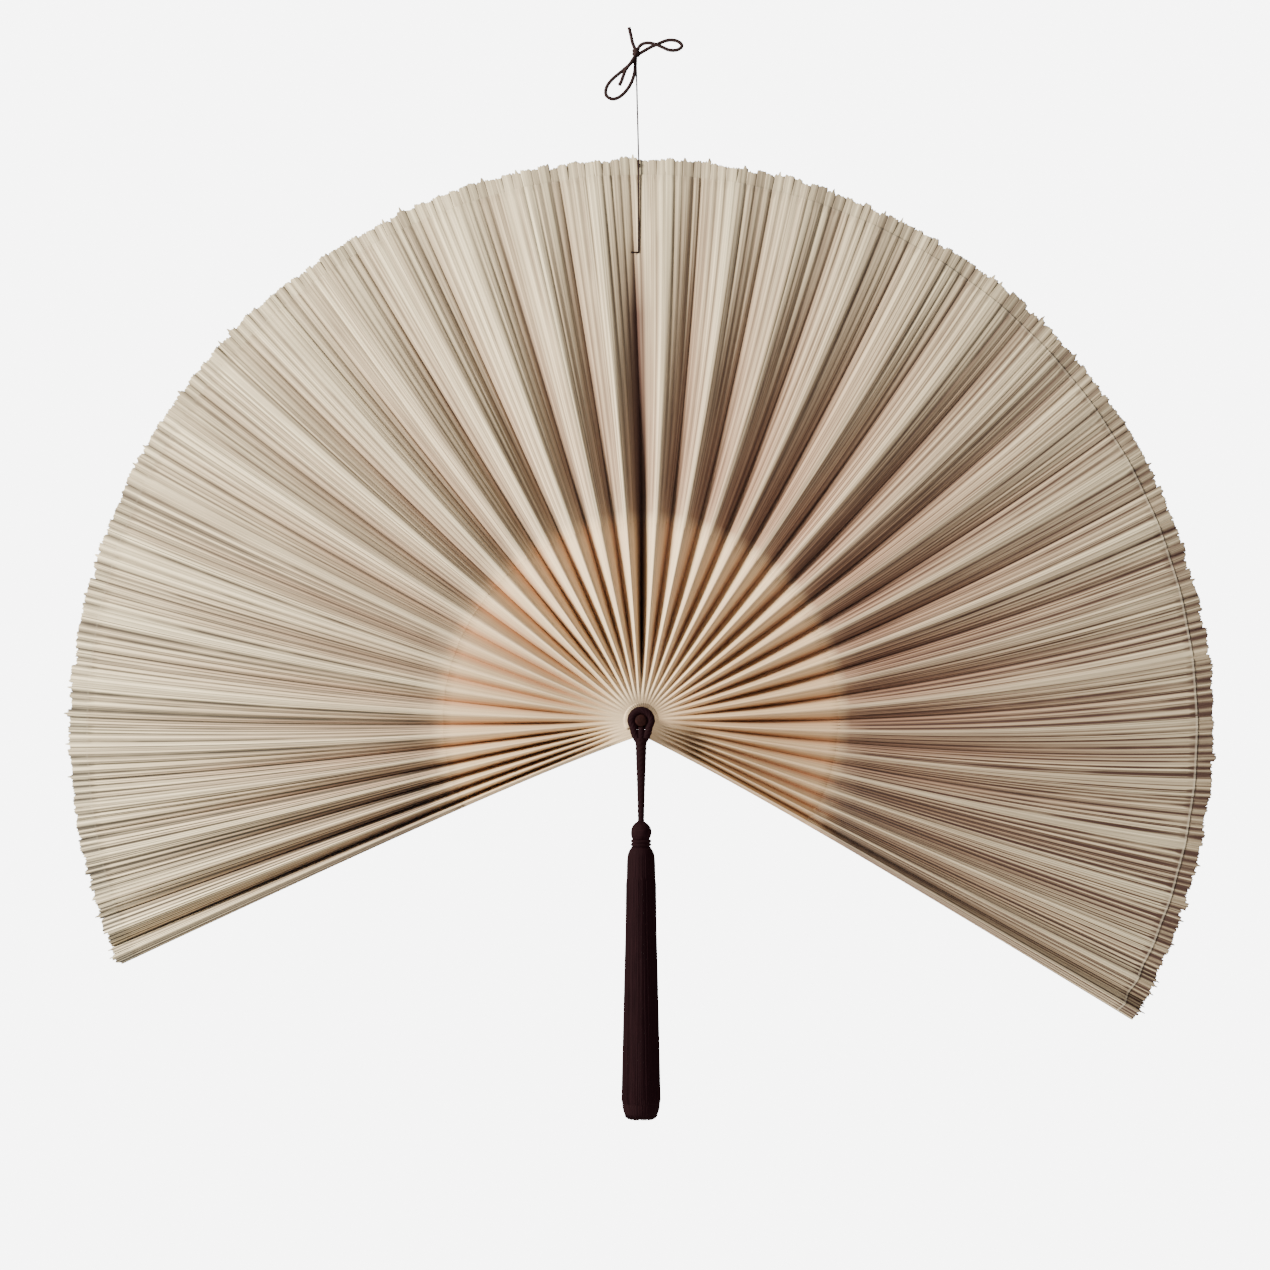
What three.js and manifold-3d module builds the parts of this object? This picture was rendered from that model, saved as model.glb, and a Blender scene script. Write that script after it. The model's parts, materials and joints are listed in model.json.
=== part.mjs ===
// Large hanging folding fan: pleated split-bamboo slats on one pin, a cloth leaf and a long tassel.
// Millimetres. Z is up, the front faces -Y, the origin is the nail that holds the thread's knot.
// Folding: every slat keeps its own layer on the pin, so that all of them can swing parallel.
import * as THREE from "three";
import Module from "manifold-3d";

const wasm = await Module();
wasm.setup();

// Overall layout, measured on the photograph at 1.262 mm to the pixel
const PIVOT = new THREE.Vector3(6.3, 0, -843);
const TIP_R = 722;
const HEM_R = 701;
const RIM_DROP = 13.5;
const RIM_ASIDE = 2.5;
const LEAF_R = 249;
const CENTRE_VALLEY = -0.3;
const LEFT_SPAN = 114.85;
const RIGHT_SPAN = 121.45;
const LEFT_PLEATS = 18;
const RIGHT_PLEATS = 19;
const FULL_PITCH = 7.66;
const END_MARGIN = 0.9;

// Slats: thin strips that stand on edge near the pin and lie almost flat at the rim
const SLAT_W = 25;
const SLAT_T = 0.5;
const EYE_T = SLAT_T + 0.1;
const ROOT_W = 7;
const EYE_R = 7.5;
const LAYER = 0.95;
const SPREAD = 0.8;
const RIM_SPREAD = 0.12;
const TWIST_START = 16;
const TWIST_END = 110;
const RIM_DEPTH = 4;
const SPLINTS = 4;
const SPLIT_GAP = 0.4;
const RIM_GAP = 3;
const TIP_SCATTER = 4;

// Cloth leaf with the slats of the other pleat faces, behind the front slats
const CLOTH_T = 0.4;
const CLOTH_GAP = 0.3;
const WEB_R = 45;
const FOLD_PAST = 0.8;

// Pin and washers
const PIN_R = 2.4;
const PIN_PLAY = 0.6;
const WASHER_R = 12;
const WASHER_T = 1.2;
const GAP = 0.4;
const HEAD_R = 7.6;
const HEAD_T = 2.2;
const REAR_HEAD_R = 9;
const REAR_HEAD_T = 2;

// Tassel
const LOOP_CORD_R = 5;
const LOOP_R = 12.5;
const NECK_Z = -24;
const BALL_TOP = -127.5;
const BALL_R = 12.3;
const BALL_H = 21.5;
const BINDING_H = 8.4;
const SKIRT_BOTTOM = -501;
const PIECE_GAP = 0.3;

// Hanging thread and bow
const THREAD_R = 0.6;
const BOW_R = 1.4;
const TIE_R = 600;
const TIE_HALF = 4.8;
const TIE_SINK = 0.75;
const BEHIND_BOW = 1.6;
const RIM_KNOT_Y = -1.8;

const rad = THREE.MathUtils.degToRad;
const PLEATS = LEFT_PLEATS + RIGHT_PLEATS;
const CENTRE_SLAT = LEFT_PLEATS;
const STRIP_ROWS = [4.5, TWIST_START, 30, WEB_R, 75, TWIST_END, 170];
const CLOTH_ROWS = [LEAF_R, 450, HEM_R];
const STACK_BACK = (PLEATS - 1 - CENTRE_SLAT) * LAYER + EYE_T / 2;
const STACK_FRONT = -CENTRE_SLAT * LAYER - EYE_T / 2;
const LOOP_Y = STACK_FRONT - GAP - WASHER_T - GAP - LOOP_CORD_R;

// Closed bodies

// A closed solid from points and triangles, turned outward if they came inside out.
function closed(points, triangles) {
  const build = (tris) =>
    new wasm.Manifold(
      new wasm.Mesh({
        numProp: 3,
        vertProperties: new Float32Array(points.flat()),
        triVerts: new Uint32Array(tris.flat()),
      }),
    );
  const made = build(triangles);
  return made.volume() > 0 ? made : build(triangles.map(([a, b, c]) => [a, c, b]));
}

// A plate made of cells: each pair holds a front and a back point, each cell lists its pairs in order round it.
// Both faces are filled cell by cell, and every cell edge without a neighbour gets a wall.
function plate(pairs, cells) {
  const triangles = [];
  const edges = new Set();
  for (const cell of cells) {
    for (let j = 1; j + 1 < cell.length; j++) {
      const [a, b, c] = [cell[0], cell[j], cell[j + 1]].map((n) => 2 * n);
      triangles.push([a, b, c], [a + 1, c + 1, b + 1]);
    }
    cell.forEach((n, j) => edges.add(n + ">" + cell[(j + 1) % cell.length]));
  }
  for (const edge of edges) {
    const [from, to] = edge.split(">").map(Number);
    if (edges.has(to + ">" + from)) continue;
    const [a, b] = [2 * from, 2 * to];
    triangles.push([b, a, a + 1], [b, a + 1, b + 1]);
  }
  return closed(pairs.flat(), triangles);
}

// A skin through rings of equal point counts, with a flat cap on both ends.
function skin(rings) {
  const n = rings[0].length;
  const triangles = [];
  for (let k = 0; k + 1 < rings.length; k++)
    for (let j = 0; j < n; j++) {
      const a = k * n + j;
      const b = k * n + ((j + 1) % n);
      triangles.push([a, b, b + n], [a, b + n, a + n]);
    }
  const end = (rings.length - 1) * n;
  for (let j = 1; j + 1 < n; j++) triangles.push([0, j + 1, j], [end, end + j, end + j + 1]);
  return closed(rings.flat(), triangles);
}

// A body turned about an axis through centre: profile holds [radius, distance along the axis].
function turned(profile, centre, axis, sides) {
  const rings = profile.map(([r, along]) => {
    const ring = [];
    for (let j = 0; j < sides; j++) {
      const a = (2 * Math.PI * j) / sides;
      const [c, s] = [r * Math.cos(a), r * Math.sin(a)];
      ring.push(
        axis === "y"
          ? [centre.x + c, centre.y + along, centre.z + s]
          : [centre.x + c, centre.y + s, centre.z + along],
      );
    }
    return ring;
  });
  return skin(rings);
}

// A round cord along a smooth curve; radius(t) gives its radius at the share t of the way.
function cord(points, radius, steps, sides) {
  const curve = new THREE.CatmullRomCurve3(points.map((p) => new THREE.Vector3(...p)));
  const frames = curve.computeFrenetFrames(steps, false);
  const rings = [];
  for (let k = 0; k <= steps; k++) {
    const centre = curve.getPointAt(k / steps);
    const r = radius(k / steps);
    const ring = [];
    for (let j = 0; j < sides; j++) {
      const a = (2 * Math.PI * j) / sides;
      const p = centre
        .clone()
        .addScaledVector(frames.normals[k], r * Math.cos(a))
        .addScaledVector(frames.binormals[k], r * Math.sin(a));
      ring.push([p.x, p.y, p.z]);
    }
    rings.push(ring);
  }
  return skin(rings);
}

// Pleat layout

// Valley angles from the left end to the right end, in degrees clockwise from straight up.
function valleys() {
  const side = (count, span) => {
    const pitch = [];
    for (let k = 0; k < count; k++) pitch.push(1 - ((k + 0.5) / (count + END_MARGIN)) ** 4);
    const scale = span / pitch.reduce((a, b) => a + b, 0);
    let angle = 0;
    return pitch.map((p) => (angle += p * scale));
  };
  const left = side(LEFT_PLEATS, LEFT_SPAN).map((a) => CENTRE_VALLEY - a);
  const right = side(RIGHT_PLEATS, RIGHT_SPAN - CENTRE_VALLEY).map((a) => CENTRE_VALLEY + a);
  return [...left.reverse(), CENTRE_VALLEY, ...right];
}

const VALLEYS = valleys();

// The direction of slat k's centre line. One more than the last slat stands for the leaf's free edge.
function direction(k) {
  if (k === PLEATS) return direction(PLEATS - 1) + FULL_PITCH / 2;
  return (VALLEYS[k] + VALLEYS[k + 1]) / 2 - FULL_PITCH / 4;
}

const smooth = (from, to, x) => {
  const t = Math.min(1, Math.max(0, (x - from) / (to - from)));
  return t * t * (3 - 2 * t);
};

// Half of a pleat's arc at radius r, which is what one face covers seen from the front.
const faceArc = (r) => (rad(FULL_PITCH) / 2) * r;

// The real distance from the pin at radius r, in degrees a from straight up: the rim's circle hangs lower.
function reach(r, a) {
  if (r <= LEAF_R) return r;
  const tip = TIP_R + RIM_ASIDE * Math.sin(rad(a)) - RIM_DROP * Math.cos(rad(a));
  return LEAF_R + ((r - LEAF_R) * (tip - LEAF_R)) / (TIP_R - LEAF_R);
}

// How far the valley lies behind the ridge: nothing on the pin, full once the strips stand on edge.
function foldDepth(r) {
  const strip = Math.sqrt(SLAT_W ** 2 - faceArc(Math.min(r, LEAF_R)) ** 2);
  if (r <= LEAF_R) return strip * smooth(TWIST_START, TWIST_END, r);
  const t = (r - LEAF_R) / (TIP_R - LEAF_R);
  return RIM_DEPTH + (strip - RIM_DEPTH) * (1 - Math.min(t, 1) ** 2);
}

// The sideways step from slat to slat, which shrinks as the faces lean over towards the rim.
function spread(r) {
  return (SPREAD - (SPREAD - RIM_SPREAD) * smooth(50, 300, r)) * smooth(8, 30, r);
}

// Width of a face, and its tilt out of the fan's plane, at radius r.
function section(r) {
  const [arc, depth] = [faceArc(r), foldDepth(r)];
  return { width: Math.max(ROOT_W, Math.hypot(arc, depth)), tilt: Math.atan2(depth, arc) };
}

// A point of slat k at radius r, across it from ridge (0) to valley (width), and through it towards the back.
function onSlat(k, r, across, through) {
  const { width, tilt } = section(r);
  const order = k - CENTRE_SLAT;
  const shift = spread(r) * order;
  const from = across - width / 2;
  const sideways = shift - from * Math.cos(tilt) + through * Math.sin(tilt);
  const back = LAYER * order + from * Math.sin(tilt) + through * Math.cos(tilt);
  const a = rad(direction(k));
  const out = reach(r, direction(k));
  return [
    PIVOT.x + out * Math.sin(a) + sideways * Math.cos(a),
    PIVOT.y + back,
    PIVOT.z + out * Math.cos(a) - sideways * Math.sin(a),
  ];
}

// Where splint s of a face starts and ends across it.
function splintEdge(s, edge, r) {
  const { width } = section(r);
  const gap = SPLIT_GAP + (RIM_GAP - SPLIT_GAP) * ((r - LEAF_R) / (TIP_R - LEAF_R));
  const pitch = width / SPLINTS;
  return (s + edge) * pitch + (edge ? -gap / 2 : gap / 2);
}

// The uneven length of a tip: the same for the same splint every time.
const tipRadius = (n) => TIP_R + TIP_SCATTER * (2 * Math.abs(Math.sin(n * 12.9898 + 4.1)) - 1);

// Slats

function eye(k) {
  const y = PIVOT.y + LAYER * (k - CENTRE_SLAT);
  const centre = new THREE.Vector3(PIVOT.x, y, PIVOT.z);
  const half = EYE_T / 2;
  const disc = turned([[EYE_R, -half], [EYE_R, half]], centre, "y", 10);
  const hole = turned([[PIN_R + PIN_PLAY, -1], [PIN_R + PIN_PLAY, 1]], centre, "y", 10);
  return disc.subtract(hole);
}

// The blade of slat k: one strip from the eye out, which is split into splints from the cloth outward.
function blade(k) {
  const pairs = [];
  const cells = [];
  const add = (r, across) =>
    pairs.push([onSlat(k, r, across, -SLAT_T / 2), onSlat(k, r, across, SLAT_T / 2)]) - 1;
  let [low, high] = [0, 0];
  STRIP_ROWS.forEach((r, i) => {
    const [nextLow, nextHigh] = [add(r, 0), add(r, section(r).width)];
    if (i > 0) cells.push([low, high, nextHigh, nextLow]);
    [low, high] = [nextLow, nextHigh];
  });
  const root = [];
  for (let s = 0; s < SPLINTS; s++) {
    let ends = [0, 1].map((edge) => add(LEAF_R, splintEdge(s, edge, LEAF_R)));
    root.push(...ends);
    for (const r of [...CLOTH_ROWS.slice(1), tipRadius(k * SPLINTS + s)]) {
      const next = [0, 1].map((edge) => add(r, splintEdge(s, edge, r)));
      cells.push([ends[0], ends[1], next[1], next[0]]);
      ends = next;
    }
  }
  cells.push([low, high, ...root.reverse()]);
  return plate(pairs, cells);
}

function slat(k) {
  const bore = turned([[PIN_R + PIN_PLAY, -40], [PIN_R + PIN_PLAY, 40]], PIVOT, "y", 10);
  return eye(k).add(blade(k).subtract(bore));
}

// Leaf

const BEHIND = SLAT_T / 2 + CLOTH_GAP + CLOTH_T / 2;

// The lines of the pleated cloth at radius r: behind each ridge, and round each valley edge.
function leafLines(r) {
  const lines = [];
  const past = section(r).width + FOLD_PAST;
  for (let k = 0; k <= PLEATS; k++) {
    if (k > 0) lines.push(onSlat(k, r, past, -BEHIND));
    if (k < PLEATS) lines.push(onSlat(k, r, past, BEHIND), onSlat(k, r, 0, BEHIND));
  }
  return lines.map((p) => new THREE.Vector3(...p));
}

// The directions in which the cloth has its thickness: square to it, and between both faces at a fold.
function leafNormals(lines) {
  const face = (a, b) => {
    const out = a.clone().sub(PIVOT).setY(0).normalize();
    return b.clone().sub(a).cross(out).normalize();
  };
  return lines.map((p, j) => {
    const before = face(lines[Math.max(j - 1, 0)], lines[Math.max(j, 1)]);
    const after = face(lines[Math.min(j, lines.length - 2)], lines[Math.min(j + 1, lines.length - 1)]);
    const mean = before.clone().add(after).normalize();
    return mean.divideScalar(Math.max(mean.dot(before), 0.6));
  });
}

// The leaf: the cloth, and on the faces that have no slat in front the bare strips and splint tips behind it.
function leaf() {
  const pairs = [];
  const cells = [];
  const addRow = (r) => {
    const lines = leafLines(r);
    const normals = leafNormals(lines);
    const first = pairs.length;
    lines.forEach((p, j) => {
      const half = normals[j].multiplyScalar(CLOTH_T / 2);
      pairs.push([p.clone().sub(half).toArray(), p.clone().add(half).toArray()]);
    });
    return { first, lines };
  };
  const rows = [...STRIP_ROWS.filter((r) => r >= WEB_R), ...CLOTH_ROWS].map(addRow);
  const hem = rows.at(-1);
  const clothFrom = rows.length - CLOTH_ROWS.length;
  for (let i = 0; i + 1 < rows.length; i++)
    for (let j = 0; j + 1 < hem.lines.length; j++) {
      const bare = i < clothFrom;
      if (bare && j % 3 !== 1) continue;
      const [a, b] = [rows[i].first + j, rows[i + 1].first + j];
      cells.push([a, a + 1, b + 1, b]);
    }
  for (let k = 0; k < PLEATS; k++) cells.push(counterTips(k, hem, pairs));
  return plate(pairs, cells);
}

// The uneven splint tips beyond the hem, on the face after ridge k.
function counterTips(k, hem, pairs) {
  const j = 3 * k + 1;
  const [near, far] = [hem.first + j, hem.first + j + 1];
  const outward = hem.lines[j].clone().lerp(hem.lines[j + 1], 0.5).sub(PIVOT).setY(0).normalize();
  const tips = [];
  for (let s = 0; s <= SPLINTS; s++) {
    const reach = outward.clone().multiplyScalar(tipRadius(1000 + k * 5 + s) - HEM_R);
    const move = (side) => {
      const [a, b] = [near, far].map((n) => new THREE.Vector3(...pairs[n][side]));
      return a.lerp(b, s / SPLINTS).add(reach).toArray();
    };
    tips.push(pairs.push([move(0), move(1)]) - 1);
  }
  return [near, far, ...tips.reverse()];
}

// Pin, washers

function washer(near) {
  const centre = new THREE.Vector3(PIVOT.x, near, PIVOT.z);
  const hole = PIN_R + PIN_PLAY;
  return turned([[WASHER_R, 0], [WASHER_R, WASHER_T]], centre, "y", 32).subtract(
    turned([[hole, -1], [hole, WASHER_T + 1]], centre, "y", 16),
  );
}

function pin() {
  const boss = LOOP_R - LOOP_CORD_R - 2 * PIECE_GAP;
  const bossFront = LOOP_Y - LOOP_CORD_R + 0.8;
  const bossBack = STACK_FRONT - 2 * GAP - WASHER_T;
  const rear = STACK_BACK + 2 * GAP + WASHER_T;
  return turned(
    [
      [HEAD_R * 0.45, bossFront - HEAD_T],
      [HEAD_R * 0.85, bossFront - HEAD_T * 0.75],
      [HEAD_R, bossFront - HEAD_T * 0.3],
      [HEAD_R, bossFront],
      [boss, bossFront],
      [boss, bossBack],
      [PIN_R, bossBack],
      [PIN_R, rear],
      [REAR_HEAD_R, rear],
      [REAR_HEAD_R, rear + REAR_HEAD_T],
    ],
    new THREE.Vector3(PIVOT.x, 0, PIVOT.z),
    "y",
    24,
  );
}

// Tassel

function tasselLoop() {
  const points = [];
  const bend = 125;
  points.push([-1.6, NECK_Z - 3], [-6.5, NECK_Z * 0.68]);
  for (let a = -bend; a <= bend; a += 25)
    points.push([LOOP_R * Math.sin(rad(a)), LOOP_R * Math.cos(rad(a))]);
  points.push([6.5, NECK_Z * 0.68], [1.6, NECK_Z - 3]);
  const at = ([x, z]) => [PIVOT.x + x, LOOP_Y, PIVOT.z + z];
  const loop = cord(points.map(at), () => LOOP_CORD_R, 26, 8);
  const neck = cord(
    [[0, NECK_Z], [0, NECK_Z - 30], [0, -90], [0, BALL_TOP + PIECE_GAP]].map(at),
    (t) => 3.3 + 3 * (1 - t) ** 1.5,
    6,
    10,
  );
  const throat = cord([[0, -8.5], [0, -16], [0, NECK_Z]].map(at), (t) => 3.4 + 1.4 * t, 4, 10);
  return wasm.Manifold.union([loop, neck, throat]);
}

const TASSEL = new THREE.Vector3(PIVOT.x, LOOP_Y, PIVOT.z);

function tasselBall() {
  const profile = [];
  for (let a = -75; a <= 75; a += 25)
    profile.push([BALL_R * Math.cos(rad(a)), BALL_TOP - BALL_H / 2 + (BALL_H / 2) * Math.sin(rad(a)) / Math.sin(rad(75))]);
  return turned(profile, TASSEL, "z", 16);
}

const BINDING_TOP = BALL_TOP - BALL_H - PIECE_GAP;

function tasselBinding() {
  const r = 12;
  const h = BINDING_H / 4;
  return turned(
    [[r - 2, 0], [r, -h * 0.6], [r, -h * 1.4], [r - 1.4, -2 * h], [r, -h * 2.6], [r, -h * 3.4], [r - 2, -4 * h]].map(
      ([radius, z]) => [radius, BINDING_TOP + z],
    ),
    TASSEL,
    "z",
    20,
  );
}

function tasselSkirt() {
  const top = BINDING_TOP - BINDING_H - PIECE_GAP;
  return turned(
    [
      [11, top],
      [14.5, top - 4],
      [16.2, top - 14],
      [17.6, -215],
      [20, -300],
      [22.3, -400],
      [24, -470],
      [23.6, -488],
      [21, SKIRT_BOTTOM + 3],
      [17, SKIRT_BOTTOM],
    ],
    TASSEL,
    "z",
    24,
  );
}

// Hanging thread and bow

// The thread: from the knot on the nail, down in front of the centre valley, to a turn round one splint.
function hangingThread() {
  const front = (r) => onSlat(CENTRE_SLAT, r, section(r).width, -BEHIND)[1] - CLOTH_T - 2.2;
  const z = (r) => PIVOT.z + reach(r, 0);
  const line = cord(
    [
      [0, BEHIND_BOW, -6],
      [0.8, BEHIND_BOW, -35],
      [3.4, RIM_KNOT_Y, -140],
      [3.4, front(HEM_R), z(HEM_R) - 12],
      [3.2, front(640), z(640)],
      [3.2, front(TIE_R) + TIE_SINK, z(TIE_R)],
    ],
    () => THREAD_R,
    18,
    6,
  );
  const knot = turned(
    [[0.8, 3.2], [1.7, 1.6], [1.9, 0], [1.7, -1.6], [0.8, -3.2]],
    new THREE.Vector3(3.4, RIM_KNOT_Y, -143),
    "z",
    8,
  );
  const y = front(TIE_R) + TIE_SINK;
  const rise = 1.7 * TIE_HALF * Math.tan(section(TIE_R).tilt);
  const tie = cord(
    [
      [3.2, y, z(TIE_R) + 0.5],
      [3.2 - TIE_HALF, y - rise, z(TIE_R) + 0.2],
      [3.2 - 2 * TIE_HALF, y - 2 * rise, z(TIE_R)],
    ],
    () => THREAD_R,
    3,
    6,
  );
  return wasm.Manifold.union([line, knot, tie]);
}

// The bow: a knot, two loops and two tails of one thicker cord, each loop closed at the knot.
function bow() {
  const right = [
    [1, -2.6, 1], [5, -3.6, 7.3], [10.1, -4.2, 10.1], [16.4, -4.4, 10.7], [22.7, -4.5, 9.5], [27.8, -4.5, 7.8],
    [35.3, -4.4, 4.4], [41.6, -4.2, 1.9], [49.2, -3.8, 1.5], [54.9, -3.4, 3.5], [57.8, -3, 6.9], [56.2, -2.6, 10.7],
    [50.5, -2.2, 13.9], [42.9, -1.8, 14.8], [36.6, -1.6, 13.6], [30.3, -1.5, 11.1], [25.2, -1.4, 8.8],
    [18.9, -1.4, 6.1], [11.4, -1.5, 1.9], [3.8, -1.8, -2.5],
  ];
  const left = [
    [-1, -2.6, -4], [-2.5, -2.9, -10.1], [-6.9, -3.1, -15.1], [-13.9, -3.2, -21.5], [-21.5, -3.3, -27.8],
    [-29, -3.3, -34.1], [-35.3, -3.3, -41.6], [-38.2, -3.2, -49.2], [-37.2, -3.1, -55.5], [-32.8, -3, -58.9],
    [-27.8, -2.9, -59.7], [-21.5, -2.7, -57.4], [-15.1, -2.4, -52.4], [-8.8, -2, -44.2], [-4.4, -1.6, -35.3],
    [-1.9, -1.3, -26.5], [-1, -1.2, -17.7], [-0.6, -1.5, -10.1], [-0.3, -2, -3],
  ];
  const up = [[0, -2, 0], [-2, -2, 5.5], [-4.4, -2, 11.4], [-6.3, -2, 20.2], [-7.8, -2, 26.5], [-8.8, -2, 30.9]];
  const down = [
    [0, -4, -3], [-3, -5.6, -9], [-6.9, -6.2, -15.1], [-12.6, -6.3, -22.7], [-15.8, -6.2, -30.3],
    [-17.9, -6, -36.6], [-20.4, -5.7, -41.6],
  ];
  const parts = [
    cord(right, () => BOW_R, 30, 6),
    cord(left, () => BOW_R, 30, 6),
    cord(up, () => BOW_R, 6, 6),
    cord(down, () => BOW_R, 8, 6),
    turned([[1.8, 3.9], [3.6, 2.2], [4.2, 0], [3.6, -2.2], [1.8, -3.9]], new THREE.Vector3(0, -2.2, -0.8), "z", 10),
    turned([[0.9, 2], [1.8, 1], [1.8, -1], [0.9, -2]], new THREE.Vector3(-20.4, -5.7, -41.6), "z", 8),
  ];
  return wasm.Manifold.union(parts);
}

// Assembly

const COLOURS = {
  bamboo: 0xdcc7a0,
  cloth: 0xcfc6b2,
  wood: 0x5a2a20,
  cord: 0x2a1218,
  thread: 0x4a3a34,
};

const fan = new THREE.Group();
fan.name = "bamboo_wall_fan";

function piece(name, solid, colour) {
  const mesh = solid.getMesh();
  const geometry = new THREE.BufferGeometry();
  const points = new Float32Array(mesh.numVert * 3);
  for (let i = 0; i < mesh.numVert; i++)
    points.set(mesh.vertProperties.subarray(i * mesh.numProp, i * mesh.numProp + 3), i * 3);
  geometry.setAttribute("position", new THREE.BufferAttribute(points, 3));
  geometry.setIndex(new THREE.BufferAttribute(mesh.triVerts, 1));
  const shown = new THREE.Mesh(geometry, new THREE.MeshStandardMaterial({ color: colour }));
  shown.name = name;
  fan.add(shown);
}

for (let k = 0; k < PLEATS; k++)
  piece("slat_" + String(k + 1).padStart(2, "0"), slat(k), COLOURS.bamboo);
piece("leaf", leaf(), COLOURS.cloth);
piece("front_washer", washer(STACK_FRONT - GAP - WASHER_T), COLOURS.wood);
piece("rear_washer", washer(STACK_BACK + GAP), COLOURS.wood);
piece("pin", pin(), COLOURS.wood);
piece("tassel_loop", tasselLoop(), COLOURS.cord);
piece("tassel_ball", tasselBall(), COLOURS.cord);
piece("tassel_binding", tasselBinding(), COLOURS.cord);
piece("tassel_skirt", tasselSkirt(), COLOURS.cord);
piece("hanging_thread", hangingThread(), COLOURS.thread);
piece("bow", bow(), COLOURS.thread);

export default fan;
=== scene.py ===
# %% [markdown]
# # A hanging fan of split bamboo
#
# This lesson dresses a folding fan of about three hundred bamboo splints. The solid model gives the
# moving parts: one slat for each pleat, the pin, the tassel and the hanging thread. Here each pleat
# gets its bare strips near the pin, its splints, and the gauze over them, each worked out with numpy
# as a surface of two parameters.

import json

import bpy
import numpy as np
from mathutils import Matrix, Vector

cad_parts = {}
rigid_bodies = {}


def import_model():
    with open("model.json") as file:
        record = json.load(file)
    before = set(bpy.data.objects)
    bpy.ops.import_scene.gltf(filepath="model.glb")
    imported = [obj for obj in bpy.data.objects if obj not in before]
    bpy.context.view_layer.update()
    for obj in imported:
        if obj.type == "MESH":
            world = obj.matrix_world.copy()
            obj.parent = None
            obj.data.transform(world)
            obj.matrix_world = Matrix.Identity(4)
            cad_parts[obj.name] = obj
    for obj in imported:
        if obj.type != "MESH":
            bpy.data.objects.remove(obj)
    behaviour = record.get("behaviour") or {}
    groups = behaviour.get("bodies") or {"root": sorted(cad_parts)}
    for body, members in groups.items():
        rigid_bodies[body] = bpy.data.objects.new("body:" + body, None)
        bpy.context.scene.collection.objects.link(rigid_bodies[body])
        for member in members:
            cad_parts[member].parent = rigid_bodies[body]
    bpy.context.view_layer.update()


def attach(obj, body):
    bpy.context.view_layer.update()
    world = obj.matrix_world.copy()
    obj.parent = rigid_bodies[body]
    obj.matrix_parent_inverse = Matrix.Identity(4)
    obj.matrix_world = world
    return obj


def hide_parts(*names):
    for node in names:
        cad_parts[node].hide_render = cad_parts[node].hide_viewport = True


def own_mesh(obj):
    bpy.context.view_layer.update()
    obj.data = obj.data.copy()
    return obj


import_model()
MM = 0.001


def add_object(name, data):
    """A new object of the scene, from a mesh, a camera or a light."""
    thing = bpy.data.objects.new(name, data)
    bpy.context.scene.collection.objects.link(thing)
    return thing


# %% [markdown]
# ## The camera
#
# The photograph was taken straight from the front. One pixel of its 1270 by 1270 frame is 1.262 mm on
# the fan, so a long lens from 4.5 m away, aimed at the frame's middle, gives the same picture with
# almost no perspective.

# %% Camera
PIXEL = 1.262 * MM
PIVOT = np.array([6.3, 0, -843]) * MM
FRAME_PX = 1270
PIVOT_PX = (641, 720)
middle = PIVOT + np.array([FRAME_PX / 2 - PIVOT_PX[0], 0, PIVOT_PX[1] - FRAME_PX / 2]) * PIXEL
DISTANCE = 4.5

camera_data = bpy.data.cameras.new("camera")
camera_data.sensor_width = 36
camera_data.lens = 36 * DISTANCE / (FRAME_PX * PIXEL)
camera = add_object("camera", camera_data)
camera.location = (middle[0], -DISTANCE, middle[2])
camera.rotation_euler = (np.pi / 2, 0, 0)
bpy.context.scene.camera = camera
print("lens", round(camera_data.lens, 1), "mm, aimed at", middle.round(4))

# %% [markdown]
# ## From arrays to meshes
#
# Every shape below is made of patches: arrays of points with the faces between them and a place on a
# flat map for each point. One function turns a list of patches into one mesh. Closed patches are turned
# so that their faces point outwards.

# %% Patches
def numbered(grid):
    """The numbers of a grid's points, row by row."""
    rows, columns = grid.shape[:2]
    return np.arange(rows * columns).reshape(rows, columns)


def grid_faces(n):
    """The four-sided faces between the points with these numbers."""
    return np.stack([n[:-1, :-1], n[:-1, 1:], n[1:, 1:], n[1:, :-1]], -1).reshape(-1, 4)


def facing_out(points, faces):
    """Turns the faces of a closed patch round if they point inwards: then the sum of the triple products
    of their corners, which is six times the enclosed volume, is below zero."""
    a, b, c, d = (points[faces[:, i]] for i in range(4))
    volume = (a * np.cross(b, c)).sum() + (a * np.cross(c, d)).sum()
    return faces[:, [1, 0, 3, 2]] if volume < 0 else faces


def sheet_patch(points, uv):
    """An open patch over a grid of points."""
    return points.reshape(-1, 3), grid_faces(numbered(points)), uv.reshape(-1, 2)


def plate_patch(front, back, uv):
    """A closed plate between two grids of the same size: both faces, and a wall along each edge."""
    n = numbered(front)
    m = n + n.size
    faces = [grid_faces(n), grid_faces(m)[:, ::-1]]
    for near, far in ((n[0], m[0]), (m[-1], n[-1]), (m[:, 0], n[:, 0]), (n[:, -1], m[:, -1])):
        faces.append(np.stack([near[1:], near[:-1], far[:-1], far[1:]], -1))
    points = np.concatenate([front.reshape(-1, 3), back.reshape(-1, 3)])
    return points, facing_out(points, np.concatenate(faces)), np.concatenate([uv.reshape(-1, 2)] * 2)


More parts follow.
